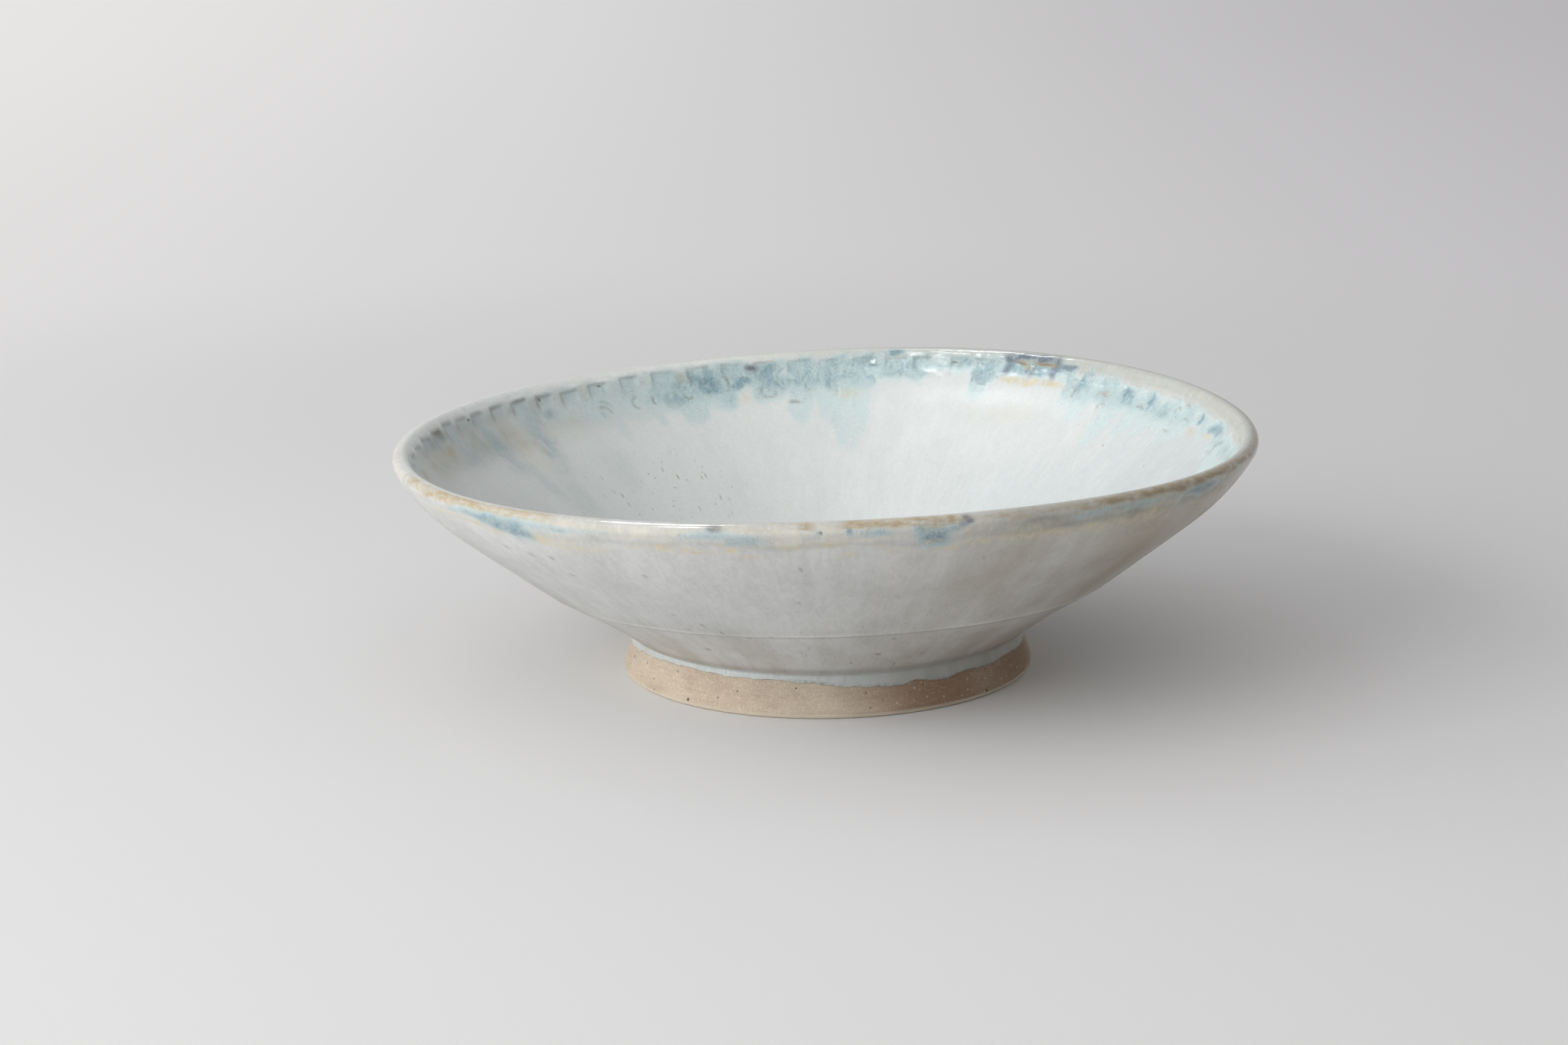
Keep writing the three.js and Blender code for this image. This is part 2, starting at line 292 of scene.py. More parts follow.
mark_slant = along(corners % 360, MARK_SLANTS) + hand.uniform(-0.04, 0.04, MARK_COUNT)
mark_force = hand.uniform(0.7, 1.1, MARK_COUNT)


def in_marks(degrees, distance):
    """The mark at a place, and how far the place is right of its left edge and below its top."""
    turned = SEEN_CORNERS[0] - (SEEN_CORNERS[0] - np.asarray(degrees)) % 360
    number = np.clip(np.searchsorted(-corners, -turned, side="right") - 1, 0, MARK_COUNT - 1)
    r = surface(np.clip(distance, 0, BAND_END))[..., 0]
    u = np.radians(corners[number] - turned) * r
    v = distance - mark_top[number] - mark_slant[number] * u
    return number, u, v


def press(degrees, distance):
    """Depth of the band at a place, from 0 to 1."""
    number, u, v = in_marks(degrees, distance)
    sides = rise(u, 0, LEFT_SIDE) * rise(mark_width[number] - u, 0, RIGHT_SIDE)
    return sides * band(v, *TOP_SIDE, *FADE) * mark_force[number] * along(degrees, OPEN_MARKS)


# %% The stamps
STAMP_DEPTH = 0.3 * MM
STAMP_WALL = 145             # radius of the wall at the stamps, in mm
SOFT_END = 25                # degrees over which an arc fades out at its ends
# Degrees, mm from the crest, radius in mm, start and sweep of the arc in degrees, force.
STAMPS = [
    (127.3, 19, 3.2, 230, 150, 0.8), (127, 18.5, 4.8, 250, 110, 0.5), (120.3, 16.5, 3, 100, 170, 1),
    (116.7, 16.5, 3, 120, 110, 0.9), (114.6, 18, 3.4, 0, 330, 0.5), (111.6, 15.5, 2.2, 20, 150, 0.9),
    (106.3, 13, 4.5, 300, 120, 0.8), (98.2, 18, 3, 10, 230, 0.8), (94.5, 13, 5.5, 100, 160, 0.5),
    (91.2, 16, 2.5, 80, 120, 0.6), (88.5, 19, 4, 300, 120, 0.6), (63, 14, 2.5, 30, 240, 0.5),
    (46.8, 15.5, 2.6, 270, 150, 0.8), (46.3, 11.5, 1.4, 0, 300, 0.6), (39.4, 13.5, 1.2, 0, 330, 0.7),
    (39, 20, 2.4, 150, 160, 0.9), (31, 17, 2.2, 190, 160, 0.8), (27.5, 16.5, 2.2, 200, 140, 0.5),
    (22, 12, 1.6, 150, 200, 0.7), (20.3, 9.5, 1.4, 200, 160, 0.7), (21.5, 18, 3, 30, 110, 0.7),
    (18.5, 15.5, 2.4, 210, 130, 0.6), (4.5, 21, 2.5, 180, 170, 0.6),
]
for corner in unseen_corners[:-3]:     # none at the left end, where none shows
    STAMPS.append((
        corner - 2 + hand.uniform(-1, 1), hand.uniform(15, 20), hand.uniform(2, 3.4),
        hand.uniform(0, 360), hand.uniform(110, 260), hand.uniform(0, 0.9),
    ))


def stamped(degrees, distance, half=0.55):
    """How strongly the stamps' broken rings are cut at a place, from 0 to 1.
    half is the half width of their line in mm."""
    cut = np.zeros(np.shape(degrees))
    for centre, level, ring, start, sweep, force in STAMPS:
        u = np.radians(turn_from(centre, degrees)) * STAMP_WALL
        v = distance / MM - level
        line = 1 - rise(abs(np.hypot(u, v) - ring), 0.3 * half, half)
        turn = (np.degrees(np.arctan2(v, u)) - start) % 360
        cut = np.maximum(cut, line * band(turn, 0, SOFT_END, sweep - SOFT_END, sweep) * force)
    return cut


print("marks:", MARK_COUNT, "and stamps:", len(STAMPS))

# %% [markdown]
# ## Drawing a section and spinning it
#
# Every piece of the bowl is made by one sequence, the way it would be done by hand in
# edit mode. A single vertex is set down and extruded along the section, point by point.
# The loop is closed, spun round the axis, and the seam and the pole are merged. Each
# vertex carries two numbers from the drawing on: its distance from the crest, and whether
# it lies on the face or is buried. Extruding and spinning hand them on, so the finished
# mesh knows where every vertex lies on the wall.

# %% Read and write a mesh as arrays
def places(piece):
    flat = np.zeros(len(piece.data.vertices) * 3, np.float32)
    piece.data.vertices.foreach_get("co", flat)
    return flat.reshape(-1, 3).astype(float)


def polar(co):
    """Radius and angle in degrees of an array of places."""
    return np.hypot(co[:, 0], co[:, 1]), np.degrees(np.arctan2(co[:, 1], co[:, 0])) % 360


def move_to(piece, co):
    piece.data.vertices.foreach_set("co", np.ascontiguousarray(co, np.float32).ravel())
    piece.data.update()


def read(piece, label):
    flat = np.zeros(len(piece.data.vertices), np.float32)
    piece.data.attributes[label].data.foreach_get("value", flat)
    return flat.astype(float)


def write(piece, label, values):
    layer = piece.data.attributes.get(label) or piece.data.attributes.new(label, "FLOAT", "POINT")
    layer.data.foreach_set("value", np.ascontiguousarray(values, np.float32))


# %% Draw a section by extruding
def only(piece):
    """Selects this object and nothing else."""
    bpy.ops.object.select_all(action="DESELECT")
    piece.select_set(True)
    bpy.context.view_layer.objects.active = piece


def draw_section(name, points):
    """A chain of vertices in the XZ plane, extruded point by point from a single one."""
    bpy.ops.object.select_all(action="DESELECT")
    bpy.ops.mesh.primitive_plane_add(size=2 * MM, location=(0, 0, 0))
    piece = bpy.context.active_object
    piece.name = piece.data.name = name
    bpy.ops.object.mode_set(mode="EDIT")
    bpy.ops.mesh.select_all(action="SELECT")
    bpy.ops.mesh.merge(type="CENTER")
    bpy.ops.transform.translate(value=(points[0][0], 0, points[0][1]))
    for before, after in zip(points[:-1], points[1:]):
        step = (after[0] - before[0], 0, after[1] - before[1])
        bpy.ops.mesh.extrude_vertices_move(TRANSFORM_OT_translate={"value": step})
    bpy.ops.object.mode_set(mode="OBJECT")
    return piece


# %% Close it and spin it
MERGE_REACH = 0.002 * MM     # vertices of the seam and the pole closer than this become one


def spin_section(name, points, distances, buried, columns, closed=True):
    """The section turned into a solid. Each vertex keeps its distance and its layer."""
    piece = draw_section(name, points)
    mesh = piece.data
    drawn = places(piece)
    planned = np.array([(r, 0, z) for r, z in points])
    point = np.linalg.norm(drawn[:, None] - planned[None], axis=2).argmin(1)
    error = 1e6 * abs(drawn - planned[point]).max()
    print(f"{name}: {len(points)} points drawn, off by {error:.2f} micrometres")
    write(piece, "distance", np.asarray(distances)[point])
    write(piece, "buried", np.asarray(buried)[point])
    if closed and points[0][0] > 0:
        bpy.ops.object.mode_set(mode="EDIT")
        bpy.ops.mesh.select_all(action="DESELECT")
        bpy.ops.object.mode_set(mode="OBJECT")
        for end in (0, len(points) - 1):
            mesh.vertices[int(np.flatnonzero(point == end)[0])].select = True
        bpy.ops.object.mode_set(mode="EDIT")
        bpy.ops.mesh.edge_face_add()
        bpy.ops.object.mode_set(mode="OBJECT")
    turn = piece.modifiers.new("turn", "SCREW")
    turn.steps = turn.render_steps = columns
    turn.use_merge_vertices = True
    turn.merge_threshold = MERGE_REACH
    bpy.ops.object.modifier_apply(modifier=turn.name)
    bpy.ops.object.mode_set(mode="EDIT")
    bpy.ops.mesh.select_all(action="SELECT")
    bpy.ops.mesh.remove_doubles(threshold=MERGE_REACH)
    bpy.ops.mesh.normals_make_consistent(inside=not closed)
    bpy.ops.object.mode_set(mode="OBJECT")
    return piece


# %% [markdown]
# ## Pressing and warping the spun wall
#
# The spun pieces are perfectly round. Now each vertex is pushed in along its face by the
# band, the stamps and the throwing rings, and raised by the lift of the rim. The clay
# under the glaze is pressed deeper than the face, because glaze pools in a hollow.

# %% Moves of the finished wall
CLAY_SHARE = 1.35            # how much deeper the clay is pressed than the glaze over it
RING_DEPTH, RING_PITCH, RING_DRIFT = 0.05 * MM, 7.5 * MM, 31 * MM
SWELL = 0.2 * MM             # how far the thrown wall swells and sinks
BEAD_HEIGHT = 0.85 * MM      # where the marks pushed the clay up into a bead
BEAD_BACK = 5.2 * MM         # its highest line, from the crest
LUMP_DEPTH, CRUMB_DEPTH = 0.34 * MM, 0.16 * MM     # lumps of glaze inside the lip
RIDGE_LEVEL = 73.8 * MM      # the turning ridge, from the crest down the outside
RIDGE_STEP, RIDGE_CUT, RIDGE_ROUND = 0.24 * MM, 0.16 * MM, 0.26 * MM
BEAD = [(70, 0), (100, 0.6), (125, 1), (180, 1), (200, 0.6), (240, 0)]
LUMPY = [(0, 1), (50, 1), (75, 0.5), (120, 0.4), (175, 0.4), (240, 0.6), (300, 0.9)]


def pressed(degrees, distance, buried):
    """Depth of the marks and stamps, which only the inside has."""
    depth = MARK_DEPTH * press(degrees, distance) + STAMP_DEPTH * stamped(degrees, distance)
    return np.where(distance > 0, depth, 0) * np.where(buried > 0.5, CLAY_SHARE, 1)


def thrown(degrees, distance):
    """Throwing rings and a soft swell, which leave the lip, the groove and the well's middle alone."""
    rings = RING_DEPTH * np.sin(distance / RING_PITCH + 2.2 * np.sin(distance / RING_DRIFT))
    swell = SWELL * cloud(3, degrees, distance, 24, 34 * MM)
    wall = rise(abs(distance), 3 * MM, 16 * MM) * (1 - rise(-distance, 100 * MM, 110 * MM))
    return (rings - swell) * wall * (1 - rise(distance, 150 * MM, 170 * MM))


def under_lip(degrees, distance):
    """The lumps of glaze inside the lip, less the bead that stands up there."""
    bead = BEAD_HEIGHT * along(degrees, BEAD) * np.clip(distance / BEAD_BACK, 0, 1)
    bead = bead * (1 - rise(distance, 5 * MM, 14 * MM))
    lumps = LUMP_DEPTH * cloud(5, degrees, distance, 2.0, 3.2 * MM)
    lumps = lumps + CRUMB_DEPTH * cloud(6, degrees, distance, 1.0, 1.7 * MM)
    return lumps * along(degrees, LUMPY) * band(distance, 1 * MM, 4 * MM, 9 * MM, 15 * MM) - bead


def turned_ridge(degrees, distance):
    """The turning ridge: a step, a shallow cut under it, and the corner rounded off."""
    below = -distance - RIDGE_LEVEL
    step = RIDGE_STEP * band(below, -1.7 * MM, -0.15 * MM, -0.1 * MM, 0.5 * MM)
    cut = RIDGE_CUT * band(below, 0.1 * MM, 0.7 * MM, 0.8 * MM, 5 * MM)
    rounded = RIDGE_ROUND * np.maximum(0, 1 - abs(below) / (9 * MM)) ** 2
    return (cut - step) * ridge_wear(degrees) + rounded


def shape_wall(piece):
    """Presses the band into a spun piece of the wall, and lifts its rim."""
    co = places(piece)
    radius, degrees = polar(co)
    angle = np.arctan2(co[:, 1], co[:, 0])
    distance = read(piece, "distance")
    depth = pressed(degrees, distance, read(piece, "buried")) + thrown(degrees, distance)
    depth = depth + under_lip(degrees, distance) + turned_ridge(degrees, distance)
    face = outward(distance)
    moved = radius - depth * face[:, 0]
    co[:, 0], co[:, 1] = moved * np.cos(angle), moved * np.sin(angle)
    co[:, 2] += lift(radius, angle) - depth * face[:, 1]
    move_to(piece, co)


# %% [markdown]
# ## Three coats of glaze
#
# The potter glazed in three goes: a pale glaze poured inside, a grey-white one outside,
# and a blue and cream one brushed over the lip. Each is a thin closed shell. Its face is
# drawn finely, and its buried side, which nobody sees, with few points.

# %% Spin a coat, and the rim coat
def buried_line(distances):
    return surface(distances) - GLAZE * outward(distances)


def coat(name, points, faces, backs, columns):
    """A spun and pressed shell. Its first points are its face, and the others are buried."""
    buried = np.repeat([0, 1], [len(faces), len(backs)])
    piece = spin_section(name, points, np.append(faces, backs), buried, columns)
    shape_wall(piece)
    return piece


rim_faces = np.concatenate([
    np.arange(18, 12, -0.9), np.arange(12, 4, -0.36), np.arange(4, -5, -0.62), np.linspace(-5, -13, 11),
]) * MM
rim_backs = np.array([-13, -9, -6, -4.5, -3, -1.5, 0, 1.5, 3, 5, 7, 10, 14, 18]) * MM
rim_points = np.vstack([surface(rim_faces), buried_line(rim_backs)])
rim_coat = coat("rim_coat", rim_points, rim_faces, rim_backs, columns=1360)

# %% The inner coat, from the middle of its face over its edge to the middle of its back
bottom = 1000 * inner.length[-1]
inner_faces = np.concatenate([
    np.linspace(bottom, 134, 14), np.arange(132, 40, -1.9), np.linspace(40, 18, 25),
]) * MM
inner_backs = np.array([18, 28, 40, 60, 80, 90, 100, 110, 118, 135, bottom]) * MM
inner_points = np.vstack([surface(inner_faces), buried_line(inner_backs)])
inner_points[0] = (0, FLOOR_HEIGHT)
inner_points[-1] = (0, FLOOR_HEIGHT - GLAZE)
inner_coat = coat("inner_coat", inner_points, inner_faces, inner_backs, columns=840)

# %% [markdown]
# ## The foot and the roll of glaze over it
#
# The foot is a ring of bare clay. It swells from a shoulder to a rounded toe, and above
# the shoulder a narrow neck runs up to the bowl. The outer glaze ran down into that neck
# and stopped on the shoulder as a thick pale roll with a wandering lower edge.

# %% The side of the foot and the roll
def clay_side(height):
    """Radius of the bare clay at a height: the swelling side, the shoulder and the neck."""
    up = np.clip((height - TOE_HEIGHT) / (SHOULDER_HEIGHT - TOE_HEIGHT), 0, 1)
    side = TOE_RADIUS - (TOE_RADIUS - SHOULDER_RADIUS) * up ** FLARE_POWER
    return side - (SHOULDER_RADIUS - NECK_RADIUS) * rise(height, SHOULDER_HEIGHT, NECK_HEIGHT)


ROLL_TOP, ROLL_END = 14.6 * MM, 10.8 * MM
roll = np.array([
    (72.35, 15.55), (71.65, 15.2), (71.25, 14.85), (71.08, 14.4), (71.05, 13.8), (71.12, 13.2),
    (71.3, 12.6), (71.55, 12.1), (71.78, 11.7), (71.92, 11.3), (71.9, 11.0), (71.7, 10.8),
]) * MM
roll_back = np.array([(clay_side(z * MM), z * MM) for z in (10.8, 11.7, 12.2, 12.8)] + [tuple(neck)])

# %% The outer coat, whose last points are the roll
LOWEST_WALL = 112.3 * MM     # below this the outer glaze is the roll over the foot
ROLL_STEP = 0.4 * MM
outer_faces = -np.concatenate([
    np.arange(13, 71.8, 1.8), np.arange(71.8, 75.6, 0.27), np.arange(75.6, 80, 1.1),
    np.arange(80, 107, 1.8), np.linspace(107.5, 112.3, 9),
]) * MM
outer_backs = -np.array([110, 100, 90, 80, 77, 74, 60, 40, 30, 22, 13]) * MM
roll_distances = -LOWEST_WALL - ROLL_STEP * np.arange(1, len(roll) + 1)
outer_coat = coat(
    "outer_coat",
    np.vstack([surface(outer_faces), roll, roll_back, buried_line(outer_backs)]),
    np.append(outer_faces, roll_distances),
    np.append(np.full(len(roll_back), roll_distances[-1]), outer_backs),
    columns=900,
)

# %% Where the roll ends: degrees round the foot, and millimetres above the table
ROLL_EDGE = [
    (0, 11.3), (30, 10.9), (62, 11.9), (95, 11.2), (130, 12.0), (165, 11.0), (188, 11.2), (204, 12.1),
    (219, 12.9), (240, 12.6), (256, 12.9), (265, 12.0), (273, 10.8), (284, 10.3), (290, 9.6),
    (294, 11.0), (299, 10.2), (304, 9.7), (311, 10.8), (323, 10.4), (332, 11.0), (341, 10.1),
    (350, 11.2), (360, 11.3),
]


def roll_edge(degrees):
    return along(degrees, ROLL_EDGE)


co = places(outer_coat)
radius, degrees = polar(co)
on_roll = (read(outer_coat, "distance") < -LOWEST_WALL - 0.1 * MM) & (co[:, 2] < ROLL_TOP)
edge = roll_edge(degrees) + 0.3 * wander(12, degrees, 2.2)
stretch = (ROLL_TOP - edge * MM) / (ROLL_TOP - ROLL_END)
lowered = np.where(on_roll, ROLL_TOP - (ROLL_TOP - co[:, 2]) * stretch, co[:, 2])
follow = radius + np.where(on_roll, clay_side(lowered) - clay_side(co[:, 2]), 0)
co[:, :2] *= (follow / radius)[:, None]
co[:, 2] = lowered
move_to(outer_coat, co)
print("vertices of the roll:", int(on_roll.sum()))

# %% The foot
toe = np.array([
    (65.3, 0.6), (65.7, 0.2), (66.3, 0), (68, 0), (70, 0), (72, 0), (73.1, 0), (73.6, 0.2), (74, 0.6),
    (74.2, 1.2),
]) * MM
neck_heights = np.array([12.0, 12.4, 12.8, 13.2]) * MM
heights = np.append(np.linspace(TOE_HEIGHT, SHOULDER_HEIGHT, 22), neck_heights)
foot_points = np.vstack([
    [(BORE_TOP, FOOT_HEIGHT)],
    np.linspace((BORE_TOP + 0.25 * MM, 13.7 * MM), (BORE_BASE, BORE_CHAMFER), 12),
    toe,
    np.stack([clay_side(heights), heights], 1),
    [neck],
])
level = np.zeros(len(foot_points))
foot = spin_section("foot", foot_points, level, level, columns=900)

# %% [markdown]
# ## Uneven clay
#
# The trimming tool and the wet sponge leave the bare clay slightly uneven: it swells and
# sinks by a tenth of a millimetre or two, and the grains of grog that the tool dragged
# out leave short scores round the side.

# %% Uneven clay
SWELLS, DENTS, SCORES = 0.09, 0.045, 0.16     # how deep each is, in mm

co = places(foot)
radius, degrees = polar(co)
height = co[:, 2]
on_side = rise(radius, 69 * MM, 70.5 * MM) * band(height, 0.1 * MM, 1.5 * MM, 11 * MM, 12 * MM)
uneven = SWELLS * cloud(21, degrees, height, 11, 5 * MM)
uneven += DENTS * cloud(22, degrees, height, 2.4, 1.1 * MM)
uneven -= SCORES * rise(cloud(23, degrees, height, 4.5, 0.5 * MM), 0.72, 0.95)
co[:, :2] *= (1 + on_side * uneven * MM / np.maximum(radius, 1e-9))[:, None]
move_to(foot, co)
print(f"clay moved by {uneven.min():.2f} to {uneven.max():.2f} mm")

# %% [markdown]
# ## The clay under the glaze
#
# The thrown bowl itself is hidden by its coats, apart from the disc of bare clay inside
# the foot. It is drawn all the same, from the middle of its underside to the middle of
# its inside, so that the pot is whole when a coat is hidden.

# %% The clay body
DISC_POINTS = 18             # along the bare disc inside the foot
DISC_DISTANCE = -114 * MM    # counted as past the end of the outer wall
clay_outside = -np.array([110, 100, 90, 80, 77, 74, 60, 40, 30, 22, 13, 9, 6, 4.5, 3, 1.5]) * MM
clay_inside = np.array([
    0, 1.5, 3, 4, 5, 5.6, 6.2, 7, 8, 9, 10, 11, 12, 13, 14, 16, 18, 22, 28, 40, 60, 80, 90, 100, 110,
    118, 135, bottom,
]) * MM
disc = np.stack([np.linspace(0, 68 * MM, DISC_POINTS), np.full(DISC_POINTS, FOOT_HEIGHT)], 1)
clay_points = np.vstack([disc, [neck], buried_line(clay_outside), buried_line(clay_inside)])
clay_points[-1] = (0, FLOOR_HEIGHT - GLAZE)
clay_distances = np.concatenate([np.full(DISC_POINTS + 1, DISC_DISTANCE), clay_outside, clay_inside])
clay_body = coat("clay_body", clay_points, [], clay_distances, columns=680)

# %% [markdown]
# ## The floor
#
# The floor is a plain pale disc whose edge curves up far away, so that every view looks
# at a smooth backdrop. It is spun like the bowl, with its faces turned inwards.

# %% The floor
bpy.ops.object.select_all(action="DESELECT")
cove = [(0, 0), (2.6, 0), (2.95, 0.05), (3.25, 0.2), (3.45, 0.5), (3.55, 0.9), (3.58, 2.2)]
level = np.zeros(len(cove))
floor = spin_section("floor", cove, level, level, columns=96, closed=False)
only(floor)
bpy.ops.object.shade_smooth_by_angle(angle=math.radians(60))
print("floor:", len(floor.data.polygons), "faces")

# %% [markdown]
# ## The camera
#
# A bowl is best seen from a little above, so that both its inside and its foot show. The
# camera stands more than a metre away with a long lens, which keeps the round rim an even
# ellipse. Its matrix is built by hand: tip it down, roll it a little, and move it there.

# %% The camera
CAMERA_PLACE = (-15.1 * MM, -1133.9 * MM, 327.0 * MM)
CAMERA_DOWN = math.radians(13.625)
CAMERA_ROLL = math.radians(-1.077)
SENSOR_WIDTH = 36
FOCAL_PIXELS, PICTURE_WIDTH = 4200, 2048     # the lens length, in pixels of a picture this wide
camera_data = bpy.data.cameras.new("camera")
camera_data.sensor_width = SENSOR_WIDTH
camera_data.lens = SENSOR_WIDTH * FOCAL_PIXELS / PICTURE_WIDTH
camera_data.clip_start, camera_data.clip_end = 0.05, 20
camera = bpy.data.objects.new("camera", camera_data)
bpy.context.scene.collection.objects.link(camera)
aim = Matrix.Translation(CAMERA_PLACE) @ Matrix.Rotation(math.pi / 2 - CAMERA_DOWN, 4, "X")
camera.matrix_world = aim @ Matrix.Rotation(CAMERA_ROLL, 4, "Z")
bpy.context.scene.camera = camera
print(f"lens {camera_data.lens:.1f} mm")

# %% [markdown]
# ## The lamps
#
# The light comes from the left, as from two windows. Two big soft lamps give it. They are
# hidden from reflections, because the glaze would mirror their whole outline. Two small
# lamps do the opposite: they light nothing, and show only in the glaze, as the glints on
# the lip and on the wall behind it. An even pale sky softens the shadows.

# %% The lamps
SKY_STRENGTH = 0.575
LAMP_TARGET = (0, 0, 0.05)


def lamp(name, place, size, power):
    """A rectangular lamp that looks at the bowl."""
    data = bpy.data.lights.new(name, "AREA")
    data.shape = "RECTANGLE"
    data.size, data.size_y = size
    data.energy = power
    thing = bpy.data.objects.new(name, data)
    bpy.context.scene.collection.objects.link(thing)
    away = Vector(place) - Vector(LAMP_TARGET)
    thing.matrix_world = Matrix.Translation(place) @ away.to_track_quat("Z", "Y").to_matrix().to_4x4()
    print(f"{name}: {power} W")
    return thing


lamp("left_window", (-1.7, 0.0, 0.75), (1.6, 1.2), 11.4).visible_glossy = False
lamp("front_window", (-1.3, -1.1, 0.8), (1.2, 1.2), 21.8).visible_glossy = False
lamp("high_strip", (-0.566, 0.373, 1.505), (0.42, 0.45), 9.0).visible_diffuse = False
lamp("small_window", (-0.68, -0.5, 1.25), (0.2, 0.28), 3.8).visible_diffuse = False
world = bpy.data.worlds.new("studio")
bpy.context.scene.world = world
world.use_nodes = True
sky = world.node_tree.nodes["Background"]
sky.inputs["Color"].default_value = (1, 1, 1, 1)
sky.inputs["Strength"].default_value = SKY_STRENGTH
bpy.context.scene.view_settings.view_transform = "Standard"

# %% [markdown]
# ## Into the frame
#
# Each fine mesh takes the place of one measured solid, which it hides.
# The corner angle keeps the drawn edges crisp where everything else is shaded smooth.

# %% Finish the pieces
CORNER = math.radians(50)


def finish_piece(piece, node):
    """Smooth shading with crisp corners, and the piece's place in the frame."""
    only(piece)
    bpy.ops.object.shade_smooth_by_angle(angle=CORNER)
    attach(piece, "root")
    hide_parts(node)
    triangles = sum(len(p.vertices) - 2 for p in piece.data.polygons)
    print(f"{piece.name}: {len(piece.data.vertices)} vertices, {triangles} triangles")


finish_piece(clay_body, "bowl_body")
finish_piece(foot, "foot_ring")
finish_piece(inner_coat, "inner_glaze")
finish_piece(rim_coat, "rim_glaze")
finish_piece(outer_coat, "outer_glaze")

# %% [markdown]
# ## Where each glaze lies
# A few of the numbers are not stains but painted shade and painted light, where the glaze is darkened
# or lightened for the way light falls on it.
#
# The glaze on this bowl isn't one colour. Cobalt and iron were brushed on the lip, and in
# the kiln they ran down in tongues, pooled in the marks and thinned over the edges. Noise
# alone can't put a pool where a pool belongs, so the large shapes are painted here: each
# vertex gets a few numbers, one for each stain, between 0 and 1. The materials read them
# as attributes and break their edges up with noise.
#
# A blot is written as degrees round the bowl, mm from the crest, half width in degrees,
# half height in mm, and strength. Where the bowl isn't seen, seeded ones are drawn.

# %% Blots
HIDDEN_IN, HIDDEN_OUT = (184, 354), (2, 176)     # the degrees that aren't seen, inside and outside


def scatter(seed, turn, count, level, wide, tall, strength):
    """Seeded blots between two angles. Each measure is a range."""
    draw = np.random.default_rng(seed)
    ranges = (turn, level, wide, tall, strength)
    return [tuple(draw.uniform(*limits) for limits in ranges) for _ in range(count)]


def blots(degrees, mm, marks, crisp=False):
    """Where these blots lie and how strongly: soft as a stain, or crisp as a speck."""
    bare = np.ones(len(degrees))
    for centre, level, wide, tall, strength in marks:
        away = np.hypot(turn_from(degrees, centre) / wide, (mm - level) / tall)
        cover = (1 - rise(away, 0.5, 1.2)) if crisp else np.exp(-0.9 * away ** 3)
        bare = bare * (1 - min(strength, 1) * cover)
    return 1 - bare


# %% The blue that ran down inside: where it ends between its tongues, and the tongues
SHALLOW = [
    (0, 16), (10, 14.5), (15, 15), (20, 18), (30, 19), (40, 20), (46.5, 15), (48, 12.2), (59.5, 12.2),
    (61, 17), (64, 14), (66, 12), (72, 12), (76, 13.5), (81, 15), (82, 25), (88, 26), (95, 22),
    (99, 21), (102, 16), (108, 24), (115, 21), (125, 23), (131, 21), (137, 16), (145, 12), (151, 13),
    (158, 14), (165, 15), (176, 12), (200, 13), (235, 16), (270, 13), (300, 17), (330, 14), (350, 17),
]
# Degrees, half width in degrees, and reach in mm.
TONGUES = [
    (-1, 3.8, 29), (5, 1.5, 25), (12, 1.0, 21.5), (20.5, 3.2, 28), (24.5, 1.6, 26), (28, 1.6, 30),
    (32, 1.5, 34), (37, 1.9, 40), (44, 2.0, 30), (47, 1.1, 25), (63.4, 1.7, 26), (74.2, 1.6, 19),
    (78, 2.4, 16.5), (84.6, 3.2, 52), (89, 1.3, 34), (93.2, 1.8, 38), (98.5, 2.2, 25), (105.5, 1.9, 28),
    (111.5, 2.4, 34), (115, 1.8, 26), (117.6, 1.0, 31), (121, 2.5, 27), (125.5, 1.2, 36), (129, 4, 27),
    (137, 3, 22), (143.5, 2.4, 40), (153, 2.4, 36), (162, 3, 23),
]
hidden_tongues = scatter(31, HIDDEN_IN, 22, (19, 36), (1, 3), (1, 1.1), (1, 1.1))
TONGUES += [(centre, wide, deep) for centre, deep, wide, _, _ in hidden_tongues]


def reach_of_blue(degrees):
    low = along(degrees, SHALLOW)
    reach = low.copy()
    for centre, wide, deep in TONGUES:
        x = abs(turn_from(degrees, centre)) / (1.15 * wide)
        reach = np.maximum(reach, low + (deep - low) * np.sqrt(np.maximum(0, 1 - x ** 2)))
    return reach


print("tongues:", len(TONGUES))

